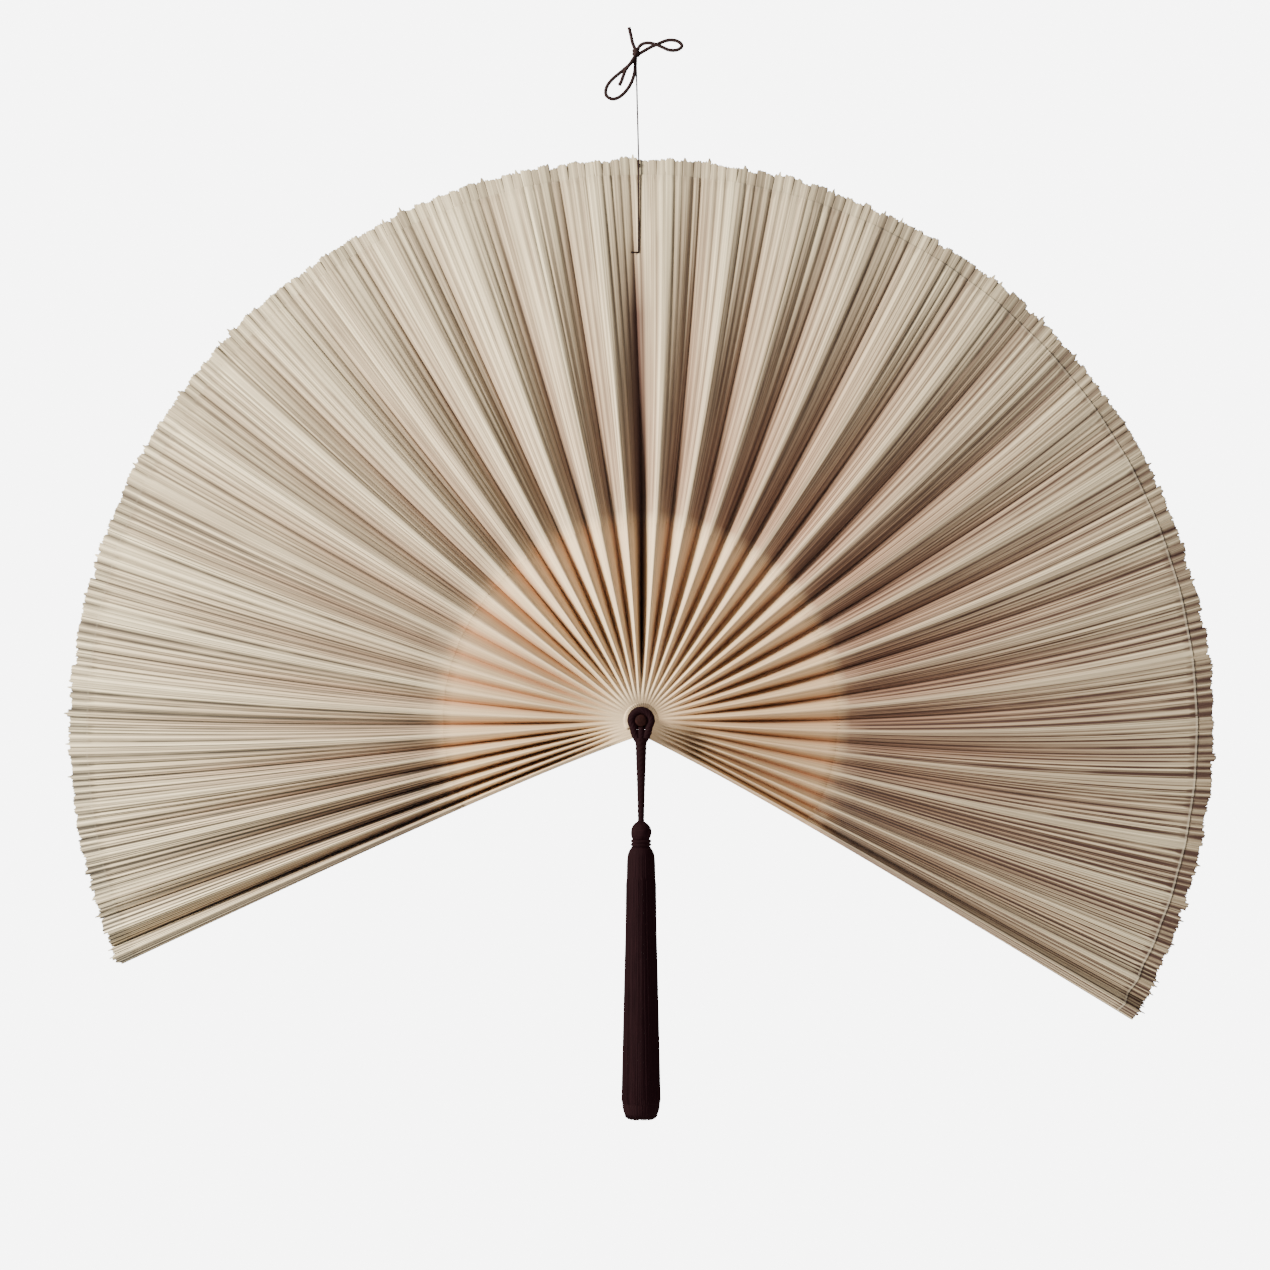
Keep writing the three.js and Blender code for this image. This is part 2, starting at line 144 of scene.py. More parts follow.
def tube_patch(rings, uv):
    """A closed skin through rings of points. A middle point closes each end, with triangles that are kept
    as quads whose last corner comes twice."""
    n = numbered(rings)
    first, last = (np.full(n.shape[1], n.size + i) for i in (0, 1))
    n = np.concatenate([n, n[:, :1]], axis=1)
    low = np.stack([n[0, 1:], n[0, :-1], first, first], -1)
    high = np.stack([n[-1, :-1], n[-1, 1:], last, last], -1)
    points = np.concatenate([rings.reshape(-1, 3), rings[[0, -1]].mean(1)])
    flat = np.concatenate([uv.reshape(-1, 2), uv[[0, -1]].mean(1)])
    return points, facing_out(points, np.concatenate([grid_faces(n), low, high])), flat


def make(name, patches, material, body, node=None, smooth=True):
    """One object from patches. It gets its material and the body it rides on. If a node of the solid model is
    named, the piece takes its place."""
    points, quads, flat = (np.concatenate(arrays) for arrays in zip(*patches))
    first = np.cumsum([0] + [len(p) for p, _, _ in patches[:-1]])
    quads = quads + np.repeat(first, [len(f) for _, f, _ in patches])[:, None]
    three = quads[:, 2] == quads[:, 3]
    faces = quads[~three].tolist() + quads[three, :3].tolist()
    mesh = bpy.data.meshes.new(name)
    mesh.from_pydata(points.tolist(), [], faces)
    corner = np.empty(len(mesh.loops), np.int32)
    mesh.loops.foreach_get("vertex_index", corner)
    layer = mesh.uv_layers.new(name="run")
    layer.data.foreach_set("uv", flat[corner].astype(np.float32).ravel())
    mesh.polygons.foreach_set("use_smooth", np.full(len(mesh.polygons), smooth))
    mesh.materials.append(material)
    mesh.update()
    piece = add_object(name, mesh)
    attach(piece, body)
    if node:
        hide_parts(node)
    return piece


# %% [markdown]
# ## Curves and turned forms
#
# Cords follow a smooth curve through a few points, and knots, washers and the tassel's body are turned
# about an axis. Both are one formula over a grid: along the curve or profile, and round it.

# %% Curves and turned forms
def lengths(path):
    """The length from a path's start to each of its points: the running sum of its steps."""
    return np.concatenate([[0], np.cumsum(np.linalg.norm(np.diff(path, axis=0), axis=1))])


def smooth_path(points, count):
    """A Catmull-Rom curve through the points: each stretch is the cubic whose slope at a point is half
    of the way from the point before to the point after. It comes back at even steps of its length."""
    p = np.asarray(points, float)
    p = np.concatenate([2 * p[:1] - p[1:2], p, 2 * p[-1:] - p[-2:-1]])
    t = np.linspace(0, 1, 40, endpoint=False)[None, :, None]
    a, b, c, d = (p[i : len(p) - 3 + i, None, :] for i in range(4))
    curve = 0.5 * (2 * b + (c - a) * t + (2 * a - 5 * b + 4 * c - d) * t**2 + (3 * b - a - 3 * c + d) * t**3)
    curve = np.concatenate([curve.reshape(-1, 3), p[-2:-1]])
    along = lengths(curve)
    even = np.linspace(0, along[-1], count)
    return np.stack([np.interp(even, along, curve[:, i]) for i in range(3)], -1)


def rope(path, radius, plies, pitch, relief, around=18):
    """A laid cord: round its path, the radius swells once for each ply, and the swellings turn once in
    each pitch of length, so the plies wind round each other."""
    step = np.gradient(path, axis=0)
    step /= np.linalg.norm(step, axis=1, keepdims=True)
    side = np.cross(step, [0, 1, 0])
    side /= np.linalg.norm(side, axis=1, keepdims=True)
    other = np.cross(step, side)
    along = lengths(path)
    angle = np.linspace(0, 2 * np.pi, around, endpoint=False)
    phase = plies * (angle[None, :] - 2 * np.pi * along[:, None] / pitch) / 2
    r = np.broadcast_to(radius, (len(path),))[:, None] * (1 - relief + relief * np.abs(np.cos(phase)))
    rings = path[:, None] + r[..., None] * (
        np.cos(angle)[None, :, None] * side[:, None] + np.sin(angle)[None, :, None] * other[:, None]
    )
    uv = np.stack(np.broadcast_arrays(phase / np.pi, along[:, None]), -1)
    return tube_patch(rings, uv)


def turned(radius, along, centre, axis="z", around=64, waves=None):
    """A form turned about an axis: at each step along it, a circle of the given radius. waves(angle,
    along) is a length to add to the radius."""
    radius, along = np.asarray(radius, float), np.asarray(along, float)
    angle = np.linspace(0, 2 * np.pi, around, endpoint=False)
    r = np.broadcast_to(radius[:, None], (len(radius), around)).copy()
    if waves is not None:
        r += waves(angle[None, :], along[:, None])
    h = np.broadcast_to(along[:, None], r.shape)
    c, s = r * np.cos(angle), r * np.sin(angle)
    rings = np.stack([c, s, h] if axis == "z" else [c, h, s], -1) + np.asarray(centre)
    uv = np.stack(np.broadcast_arrays(angle[None, :] / (2 * np.pi), along[:, None]), -1)
    return tube_patch(rings, uv)


# %% [markdown]
# ## Materials
#
# The bamboo and the gauze have a flat map. Across it runs the place among all pleats, and up it the
# distance from the pin, both from 0 to 1. Streaks that are narrow across and long upwards are fibres, and a
# random value for each splint gives every one its own shade. Nothing depends on the camera.

# %% Node helpers
class Nodes:
    """A material's nodes, with a short way to add and link them."""

    def __init__(self, name):
        self.material = bpy.data.materials.new(name)
        self.material.use_nodes = True
        self.tree = self.material.node_tree
        self.shader = self.tree.nodes["Principled BSDF"]

    def feed(self, node, values):
        """Sets each number or colour on the node's socket of that name or place, or links a socket to it."""
        for key, value in values.items():
            if isinstance(value, (int, float)):
                node.inputs[key].default_value = value
            elif isinstance(value, tuple):
                node.inputs[key].default_value = (*value, 1)
            else:
                self.tree.links.new(value, node.inputs[key])

    def surface(self, values):
        self.feed(self.shader, values)

    def add(self, kind, inputs=(), **settings):
        node = self.tree.nodes.new("ShaderNode" + kind)
        for key, value in settings.items():
            setattr(node, key, value)
        self.feed(node, dict(inputs))
        return node

    def math(self, operation, a, b=0.0, c=0.0, clamp=False):
        return self.add("Math", {0: a, 1: b, 2: c}, operation=operation, use_clamp=clamp).outputs[0]

    def times(self, a, b):
        return self.math("MULTIPLY", a, b)

    def scaled(self, a, factor, offset):
        return self.math("MULTIPLY_ADD", a, factor, offset)

    def fade(self, distance, width):
        """1 where the distance is 0, falling evenly to 0 at the given width."""
        return self.math("SUBTRACT", 1.0, self.math("DIVIDE", distance, width), clamp=True)

    def noise(self, vector, scale, detail, rough=0.5):
        inputs = {"Vector": vector, "Scale": scale, "Detail": detail, "Roughness": rough}
        return self.add("TexNoise", inputs, noise_dimensions="3D").outputs["Fac"]

    def streaks(self, across, along, across_scale, along_scale, detail=2.0, rough=0.5):
        """Noise on the flat map, squeezed across by one scale and drawn out along by the other."""
        inputs = {0: self.times(across, across_scale), 1: self.times(along, along_scale)}
        return self.noise(self.add("CombineXYZ", inputs).outputs[0], 1.0, detail, rough)

    def random(self, value):
        return self.add("TexWhiteNoise", {"W": value}, noise_dimensions="1D").outputs["Value"]

    def mix(self, share, a, b, blend="MIX"):
        return self.add("Mix", {0: share, 6: a, 7: b}, data_type="RGBA", blend_type=blend).outputs[2]

    def tint(self, share, colour, by):
        """The colour, times another one as far as the share says."""
        return self.mix(share, colour, by, "MULTIPLY")

    def range(self, value, low, high, to_low=0.0, to_high=1.0, kind="LINEAR"):
        inputs = dict(enumerate((value, low, high, to_low, to_high)))
        return self.add("MapRange", inputs, interpolation_type=kind).outputs[0]

    def bump(self, height, strength, distance):
        inputs = {"Height": height, "Strength": strength, "Distance": distance}
        self.surface({"Normal": self.add("Bump", inputs).outputs["Normal"]})

    def run(self):
        """The piece's flat map, as its two numbers."""
        split = self.add("SeparateXYZ", {0: self.add("UVMap", uv_map="run").outputs[0]})
        return split.outputs[0], split.outputs[1]


# %% [markdown]
# ### What bamboo and cloth share
#
# Splints differ in shade and they have hairline fibres. Between two of them a thin dark line is painted, in
# the bare tips as well as through the cloth: it is painted shadow, the dark seen through the gap. It is drawn
# stronger towards both sides of the fan, and a line of painted shade runs along the bottom of each valley.
# The flat map counts splints, so a line is drawn where its number is whole. A picture of a real fan would
# smear on the long narrow splints.

# %% Numbers and shades
PLEATS, SPLINTS_PER_PLEAT, CENTRE_SLAT = 37, 8, 18
SPLINTS = PLEATS * SPLINTS_PER_PLEAT
TIP_R, HEM_R, LEAF_R = 722 * MM, 701 * MM, 249 * MM
INNER_EDGE, BARE_TIP, HEM_LINE = (0.345, 0.368), (0.945, 0.965), (0.9665, 0.9685)
STRIP_PALE, STRIP_DEEP = (0.8, 0.65, 0.435), (0.6, 0.44, 0.3)
CLOTH_PALE, CLOTH_DEEP, HEM_PALE = (0.89, 0.79, 0.555), (0.42, 0.335, 0.235), (0.72, 0.65, 0.53)
GAP_SHADOW_GREY, GAP_SHADOW_BROWN, WEDGE_SHADE_BROWN = (0.065, 0.054, 0.042), (0.062, 0.033, 0.027), (0.06, 0.027, 0.023)
FOLD_SHADE_GREY, FOLD_SHADE_BROWN, LEAF_TINT_BROWN = (0.66, 0.57, 0.565), (0.82, 0.585, 0.495), (0.53, 0.385, 0.37)
SIDE_BROWN, TIP_SHADE_BROWN, WEDGE_SHARE = (0.84, 0.76, 0.7), (0.42, 0.32, 0.27), 0.9
CRACKS = ((0.71, 0.16), (0.23, 0.16), (0.47, 0.09))


# %% Marks of the splints
def splint_marks(n):
    """The two places on the map, the splint's own random value, its fibres, broad patches along it, the share
    of dark in the gaps beside it, which is painted shadow, and in fainter cracks, how near a fold's bottom
    (for painted shade) and a pleat's top (for a painted highlight) a place is, and how deep in the middle
    valley's painted shade. The painted lines are stronger towards both sides of the fan, and one also runs
    along each valley's bottom. A crack has a seed and a half width."""
    across, along = n.run()
    splint = n.times(across, SPLINTS)
    number = n.math("FLOOR", splint)
    own = n.random(number)
    fibre = n.streaks(splint, along, 5.0, 3.0, 4, 0.6)
    patch = n.streaks(splint, along, 0.5, 6.0)
    # Painted shadow: a dark line over each gap between splints, the dark seen through it, wider at the tips.
    nearest = n.math("ROUND", splint)
    gap = n.random(n.math("ADD", nearest, 0.37))
    distance = n.math("ABSOLUTE", n.math("SUBTRACT", splint, nearest))
    half_width = n.scaled(n.times(gap, gap), 0.22, 0.15)
    wider = n.times(n.range(along, 0.955, 0.97, 0.0, 0.14), n.range(across, 0.4, 0.75, 1.0, 1.7))
    line = n.math("POWER", n.fade(distance, n.math("ADD", half_width, wider)), 0.4)
    stretch = n.streaks(nearest, along, 3.1, 5.0)
    strength = n.times(n.range(gap, 0.0, 1.0, 0.8, 1.0), n.range(stretch, 0.3, 0.55, 0.6, 1.0))
    pleat = n.math("FRACT", n.times(across, PLEATS))
    from_ridge = n.math("ABSOLUTE", n.scaled(pleat, 2.0, -1.0))
    line = n.times(line, n.times(strength, n.range(from_ridge, 0.05, 0.2, 0.5, 1.0)))
    # Painted shade: a dark line along the bottom of each valley.
    line = n.math("MAXIMUM", line, n.times(n.range(from_ridge, 0.93, 0.99), 0.9))
    for seed, half in CRACKS:
        place = n.scaled(n.random(n.math("ADD", number, seed)), 0.7, 0.15)
        off = n.math("ABSOLUTE", n.math("SUBTRACT", n.math("FRACT", splint), place))
        depth = n.scaled(n.random(n.math("SUBTRACT", number, seed)), 0.75, 0.2)
        line = n.math("MAXIMUM", line, n.times(n.fade(off, half), depth))
    # The lines, painted shadow and cracks alike, are drawn stronger towards both sides of the fan.
    line_strength_by_side = n.math("MAXIMUM", n.range(across, 0.05, 0.42, 1.4, 0.65), n.range(across, 0.5, 0.9, 0.65, 1.4))
    line = n.math("MULTIPLY", line, line_strength_by_side, clamp=True)
    # How near a fold's bottom: the share of painted shade there.
    fold = n.times(n.range(from_ridge, 0.45, 1.0, kind="SMOOTHSTEP"), n.range(along, 0.05, 0.16))
    crest = n.range(from_ridge, 0.0, 0.35, 1.0, 0.0)
    # Painted shade: the deep middle valley, where the thread hangs, is darkened.
    middle = n.math("ABSOLUTE", n.scaled(across, PLEATS, -CENTRE_SLAT))
    wedge = n.times(n.range(middle, 0.05, 0.3, 1.0, 0.0), n.range(along, 0.72, 0.86, 1.0, 0.0))
    wedge = n.times(wedge, n.range(along, 0.05, 0.12, 0.0, WEDGE_SHARE))
    return across, along, own, fibre, patch, line, fold, crest, wedge


def browner_sides(n, across):
    """How much browner bare bamboo is: a little at the left, least left of the middle, most at the right."""
    return n.math("MAXIMUM", n.range(across, 0.15, 0.4, 0.45, 0.3), n.range(across, 0.3, 0.75, 0.25, 0.9))


def gap_shadow_colour(n, across):
    """The colour of the dark lines, the gaps' painted shadow and the cracks: grey at the left, and brown from
    the middle on.
    """
    return n.mix(n.range(across, 0.15, 0.5), GAP_SHADOW_GREY, GAP_SHADOW_BROWN)


# %% [markdown]
# ### Bare bamboo
#
# Split bamboo is pale and satin. Deep in a fold it is painted brown, a painted shade for the light that
# reaches it there only from the other warm face. At the left the bare tips are as grey as the cloth, and
# towards the right they are painted darker and browner, a painted shade. The strips are a little browner at
# both sides of the fan.

# %% Bamboo material
def bamboo_material():
    """Colour: a shade for each splint with its fibres, painted shade in the folds, browner at the sides, bare
    tips in painted shade towards the right, and painted shadow at each gap and in the middle valley."""
    n = Nodes("bare_bamboo")
    across, along, own, fibre, patch, line, fold, _, wedge = splint_marks(n)
    grain = n.scaled(fibre, 0.6, n.times(patch, 0.4))
    shade = n.scaled(own, 0.35, grain)
    strip = n.mix(n.range(shade, 0.35, 1.0), STRIP_PALE, STRIP_DEEP)
    # Painted shade: browner deep in each fold.
    strip = n.tint(n.times(fold, n.range(along, 0.06, 0.3, 0.6, 0.85)), strip, FOLD_SHADE_BROWN)
    strip = n.tint(browner_sides(n, across), strip, SIDE_BROWN)
    tip = n.mix(n.range(shade, 0.3, 1.1), CLOTH_PALE, CLOTH_DEEP)
    # Painted shade: the bare tips darker and browner towards the right, by more or less along their fibres.
    brown = n.times(n.range(across, 0.45, 0.9, 0.12, 0.65), n.range(fibre, 0.46, 0.56, 1.0, 0.1))
    colour = n.mix(n.range(along, *BARE_TIP), strip, n.tint(brown, tip, TIP_SHADE_BROWN))
    line = n.times(line, n.range(along, 0.33, 0.36, 0.2, 1.0))
    colour = n.mix(line, colour, gap_shadow_colour(n, across))
    n.surface({
        "Base Color": n.mix(wedge, colour, WEDGE_SHADE_BROWN),
        "Roughness": n.range(fibre, 0.3, 0.7, 0.5, 0.68),
        "Specular IOR Level": 0.22,
    })
    n.bump(fibre, 0.3, 0.5 * MM)
    return n.material


bamboo = bamboo_material()

# %% [markdown]
# ### Gauze over splints
#
# The leaf is a thin open cloth pasted over the splints. It is greyer than the bamboo and quite matt, and its
# cross threads are only just visible. It is tinted browner near its inner edge and at the right, less on the
# pleats' crests, which is a painted highlight, and painted shade browns its folds. Its hem is a slightly
# paler line just inside the tips.

# %% Gauze material
CROSS_THREADS = 600


def gauze_material():
    """Colour: cloth with a shade for each splint, a brown tint near the inner edge and at the right that is
    weaker on the crests as a painted highlight, painted shade in the folds, and painted shadow at each gap
    and in the middle valley. It starts in the strips' shades, so its inner edge shows no step."""
    n = Nodes("gauze_leaf")
    across, along, own, fibre, patch, line, fold, crest, wedge = splint_marks(n)
    grain = n.scaled(n.range(fibre, 0.38, 0.62), 0.4, n.times(patch, 0.4))
    shade = n.scaled(own, 0.5, grain)
    start = n.range(along, *INNER_EDGE)
    pale, deep = n.mix(start, STRIP_PALE, CLOTH_PALE), n.mix(start, STRIP_DEEP, CLOTH_DEEP)
    colour = n.mix(n.range(shade, 0.2, 1.15), pale, deep)
    side = n.math("MAXIMUM", n.range(across, 0.12, 0.2, 0.8, 0.5), n.range(across, 0.4, 0.56, 0.5, 1.0))
    side = n.times(side, n.range(across, 0.8, 0.9, 1.0, 0.78))
    # Painted highlight: the tint is weaker on the pleats' crests.
    side = n.times(side, n.range(crest, 0.0, 1.0, 1.0, 0.45))
    leaf_tint = n.times(n.times(start, n.range(along, 0.45, 1.0, 1.0, 0.12)), side)
    colour = n.tint(leaf_tint, colour, LEAF_TINT_BROWN)
    bare = n.times(browner_sides(n, across), n.range(along, *INNER_EDGE, 1.0, 0.0))
    colour = n.tint(bare, colour, SIDE_BROWN)
    # Painted shade towards each fold's bottom: brown near the inner edge, greyer on the cloth.
    fold_shade_share = n.times(fold, n.range(along, 0.6, 0.95, 0.9, 0.35))
    colour = n.tint(fold_shade_share, colour, n.mix(start, FOLD_SHADE_BROWN, FOLD_SHADE_GREY))
    line = n.times(line, n.range(along, 0.345, 0.4, 0.4, 1.0))
    colour = n.mix(line, colour, gap_shadow_colour(n, across))
    hem = n.times(n.range(along, *HEM_LINE), n.range(across, 0.6, 0.8, 0.05, 0.25))
    colour = n.mix(hem, colour, HEM_PALE)
    n.surface({
        "Base Color": n.mix(wedge, colour, WEDGE_SHADE_BROWN),
        "Roughness": 0.85,
        "Specular IOR Level": 0.12,
        "Sheen Weight": 0.05,
    })
    threads = n.math("SINE", n.times(along, 2 * np.pi * CROSS_THREADS))
    n.bump(n.scaled(threads, 0.3, fibre), 0.3, 0.5 * MM)
    return n.material


gauze = gauze_material()

# %% [markdown]
# ### Yarn, twine and lacquer
#
# The tassel is a matt, very dark plum yarn. Light that enters it scatters among the fibres, and a very
# weak glow stands for that. The hanging cord is a dark brown twine, and the pin's head has a worn
# red-brown lacquer, lighter in spots.

# %% Yarn, twine and lacquer materials
def yarn_material(name, dark, light, across_scale, along_scale, glow=(0.0, 0.0, 0.0)):
    """Colour: two close shades mixed by fine streaks that follow the yarn."""
    n = Nodes(name)
    streak = n.streaks(*n.run(), across_scale, along_scale, 4)
    n.surface({
        "Base Color": n.mix(n.range(streak, 0.35, 0.7), dark, light),
        "Roughness": 0.8,
        "Specular IOR Level": 0.05,
        "Emission Color": glow,
        "Emission Strength": 1.0,
    })
    n.bump(streak, 0.5, 0.4 * MM)
    return n.material


PLUM, PLUM_GLOW = (0.004, 0.0009, 0.0016), (0.006, 0.0016, 0.0024)
tassel_yarn = yarn_material("tassel_yarn", PLUM, (0.009, 0.0024, 0.0036), 160.0, 30.0, PLUM_GLOW)
tassel_cord = yarn_material("tassel_cord", PLUM, (0.01, 0.0028, 0.004), 6.0, 900.0, PLUM_GLOW)
twine = yarn_material("dark_twine", (0.012, 0.006, 0.006), (0.035, 0.021, 0.022), 6.0, 1500.0)


def lacquer_material():
    """Colour: brown lacquer, worn lighter where a broad noise is high, and rougher where a fine one is."""
    n = Nodes("red_brown_lacquer")
    place = n.add("TexCoord").outputs["Object"]
    broad = n.noise(place, 220.0, 3)
    fine = n.noise(place, 1500.0, 3)
    n.surface({
        "Base Color": n.mix(n.range(broad, 0.35, 0.7), (0.009, 0.0024, 0.0022), (0.018, 0.005, 0.0046)),
        "Roughness": n.range(fine, 0.3, 0.7, 0.65, 0.85),
        "Specular IOR Level": 0.06,
    })
    n.bump(fine, 0.2, 0.2 * MM)
    return n.material


lacquer = lacquer_material()
print("materials:", [m.name for m in bpy.data.materials])

# %% [markdown]
# ## The hanging thread and the bow
#
# The fan hangs from a nail by a thin thread. Above, a thicker twine is tied in a bow: a tail up, a loop
# to the right, a longer one down to the left, and a second tail. It is one cord, so it is one route that
# passes the knot three times. The thread runs down in front of the centre valley and round a splint. Both
# are drawn thicker than they are, because the bright ground thins every dark line.

# %% Routes of both cords
BOW_R, THREAD_R, KNOT_DEPTH = 2.35 * MM, 1.05 * MM, 0.8
up_tail = [[-8.8, -2, 30.9], [-7.8, -2, 26.5], [-6.3, -2, 20.2], [-4.4, -2, 11.4], [-2, -2, 5.5], [0, -2, 0]]
right_loop = [
    [1, -2.6, 1], [5, -3.6, 7.3], [10.1, -4.2, 10.1], [16.4, -4.4, 10.7], [22.7, -4.5, 9.5],
    [27.8, -4.5, 7.8], [35.3, -4.4, 4.4], [41.6, -4.2, 1.9], [49.2, -3.8, 1.5], [54.9, -3.4, 3.5],
    [57.8, -3, 6.9], [56.2, -2.6, 10.7], [50.5, -2.2, 13.9], [42.9, -1.8, 14.8], [36.6, -1.6, 13.6],
    [30.3, -1.5, 11.1], [25.2, -1.4, 8.8], [18.9, -1.4, 6.1], [11.4, -1.5, 1.9], [3.8, -1.8, -2.5],
]
left_loop = [
    [-1, -2.6, -4], [-2.5, -2.9, -10.1], [-6.9, -3.1, -15.1], [-13.9, -3.2, -21.5], [-21.5, -3.3, -27.8],
    [-29, -3.3, -34.1], [-35.3, -3.3, -41.6], [-38.2, -3.2, -49.2], [-37.2, -3.1, -55.5],
    [-32.8, -3, -58.9], [-27.8, -2.9, -59.7], [-21.5, -2.7, -57.4], [-15.1, -2.4, -52.4],
    [-8.8, -2, -44.2], [-4.4, -1.6, -35.3], [-1.9, -1.3, -26.5], [-1, -1.2, -17.7], [-0.6, -1.5, -10.1],
    [-0.3, -2, -3],
]
down_tail = [
    [0, -4, -3], [-3, -5.6, -9], [-6.9, -6.2, -15.1], [-12.6, -6.3, -22.7], [-15.8, -6.2, -30.3],
    [-17.9, -6, -36.6], [-20.4, -5.7, -41.6],
]
bow_route = np.array(up_tail + right_loop + left_loop + down_tail) * MM
BOW_KNOT = np.array([0, -2.2, -0.8]) * MM
RIM_KNOT = np.array([3.4, -1.8, -143]) * MM
thread_route = np.array([
    [0, 1.6, -6], [0.8, 1.6, -35], [2.1, -0.1, -88], [3.4, -1.8, -140], [3.4, -1.9, -166.9],
    [3.2, -0.5, -214.2], [3.2, 1.3, -253],
]) * MM
tie_route = np.array([[3.4, 1.3, -252.6], [-1.6, 0.2, -252.8], [-6.6, -1.2, -253]]) * MM

bow_path = smooth_path(bow_route, 640)
thread_path = smooth_path(thread_route, 160)
tie_path = smooth_path(tie_route, 40)

# %% The cords, their knots and the tie
bow_rope = rope(bow_path, BOW_R, 3, 11 * MM, 0.08)
bow_cord = make("bow_twine", [bow_rope], twine, "hub", "bow")
thread_rope = rope(thread_path, THREAD_R, 2, 4 * MM, 0.06, 10)
thread_cord = make("hanging_cord", [thread_rope], twine, "hub", "hanging_thread")


def wraps(centre, ring_r, cord_r, count, step, tilt):
    """Turns of cord round a knot: rings one step apart, a little flattened, each tilted the other way."""
    angle = np.linspace(0, 2 * np.pi, 49)
    across = np.linspace(0, 2 * np.pi, 12, endpoint=False)
    out, up = np.stack([np.cos(angle), KNOT_DEPTH * np.sin(angle), 0 * angle], -1), np.array([0, 0, 1.0])
    patches = []
    for i in range(count):
        z = (i - (count - 1) / 2) * step + tilt * np.cos(angle) * (1 if i % 2 else -1)
        path = ring_r * out + z[:, None] * up + centre
        rings = path[:, None] + cord_r * (
            np.cos(across)[None, :, None] * out[:, None] + np.sin(across)[None, :, None] * up
        )
        uv = np.stack(np.broadcast_arrays(across[None] / 6, angle[:, None] * ring_r), -1)
        patches.append(tube_patch(rings, uv))
    return patches


bow_turns = wraps(BOW_KNOT, 2.7 * MM, BOW_R, 4, 2.0 * MM, 0.9 * MM)
tail_turns = wraps(bow_route[-1], 1.3 * MM, 1.1 * MM, 2, 1.8 * MM, 0.3 * MM)
bow_knot = make("bow_knot", bow_turns + tail_turns, twine, "hub")
rim_knot = make("rim_knot", wraps(RIM_KNOT, 1.0 * MM, 0.8 * MM, 3, 1.5 * MM, 0.4 * MM), twine, "hub")
tie = make("splint_tie", [rope(tie_path, THREAD_R, 2, 3 * MM, 0.12, 10)], twine, "hub")

# %% [markdown]
# ## The layout of the pleats
#
# The fan opens to about 237 degrees in 37 pleats. In the middle they are 7.7 degrees apart, and towards
# both ends they crowd together. Each pleat is a ridge between two valleys. On the pin every slat has its
# own layer, 0.95 mm behind the one to its left, so the fan opens like a very flat spiral.

# %% Valleys and ridges
CENTRE_VALLEY, LEFT_SPAN, RIGHT_SPAN = -0.3, 114.85, 121.45
LEFT_PLEATS, RIGHT_PLEATS, END_MARGIN, FULL_PITCH = 18, 19, 0.9, 7.66


def side_valleys(count, span):
    """Angles of the valleys on one side: the pitch falls with the fourth power of the place."""
    pitch = 1 - ((np.arange(count) + 0.5) / (count + END_MARGIN)) ** 4
    return np.cumsum(pitch) * span / pitch.sum()


left = CENTRE_VALLEY - side_valleys(LEFT_PLEATS, LEFT_SPAN)[::-1]
right = CENTRE_VALLEY + side_valleys(RIGHT_PLEATS, RIGHT_SPAN - CENTRE_VALLEY)
valleys = np.radians(np.concatenate([left, [CENTRE_VALLEY], right]))
ridges = (valleys[1:] + valleys[:-1]) / 2
half_pitch = np.diff(valleys) / 2
slat_direction = ridges - np.radians(FULL_PITCH) / 4
print(PLEATS, "pleats, from", np.degrees(valleys[[0, -1]]).round(1), "degrees, half pitches",
      np.degrees([half_pitch.min(), half_pitch.max()]).round(2))

# %% [markdown]
# Hand-made bamboo isn't straight, and the fan has sagged. Its tips lie on a circle whose middle is 13.5 mm
# below the pin. The splints at the right bend over towards the top as they go out, and those low at the
# left bend down near the pin. The two outermost strips lie beside the pin's middle and not on a line
# through it. Three short functions give these, and the pleats stay whole, because neighbours share them.

# %% The bend of the bamboo
RIM_ASIDE, RIM_DROP = 2.5 * MM, 13.5 * MM
LEAN_AT = np.radians([-115, -95, -75, -55, -25, -5, 10, 30, 50, 75, 100, 121.5])
LEAN_INSIDE = np.radians([0, -3.0, -2.0, -1.6, -0.5, 0.1, 1.9, 2.2, 2.2, 1.1, 1.4, 0])
LEAN_OUTSIDE = np.radians([0, -1.5, -0.5, -0.2, -0.6, -0.5, -0.5, -0.4, -1.0, -1.8, -1.6, 0])
INSIDE_R, OUTSIDE_R = 139 * MM, 580 * MM
EDGE_ASIDE, EDGE_FALL, EDGE_PLEATS = 17.7 * MM, 189 * MM, 1.7
EYE_R, EYE_CLEAR = 5 * MM, 13 * MM


def eased(low, high, x):
    """Rises from 0 to 1 between low and high, level at both ends."""
    t = np.clip((x - low) / (high - low), 0, 1)
    return t * t * (3 - 2 * t)


def reach(r, direction):
    """The true radius: beyond the cloth's inner edge the length is stretched or shrunk in proportion, to
    end on the rim's circle."""
    end = TIP_R + RIM_ASIDE * np.sin(direction) - RIM_DROP * np.cos(direction)
    return np.where(r > LEAF_R, LEAF_R + (r - LEAF_R) * (end - LEAF_R) / (TIP_R - LEAF_R), r)


def lean(direction, r):
    """The angle by which a splint has bent aside: a straight line in the radius, through one value near
    the pin and one near the rim."""
    t = (r - INSIDE_R) / (OUTSIDE_R - INSIDE_R)
    inside, outside = (np.interp(direction, LEAN_AT, values) for values in (LEAN_INSIDE, LEAN_OUTSIDE))
    return inside + (outside - inside) * t


def edge_aside(line, r):
    """How far the outermost strips lie beside the pin's middle: it dies away with the radius, and from
    pleat to pleat."""
    at_end = np.exp((line - PLEATS) / EDGE_PLEATS) - np.exp(-line / EDGE_PLEATS)
    return EDGE_ASIDE * np.exp(-r / EDGE_FALL) * at_end * eased(EYE_R, EYE_CLEAR, r)


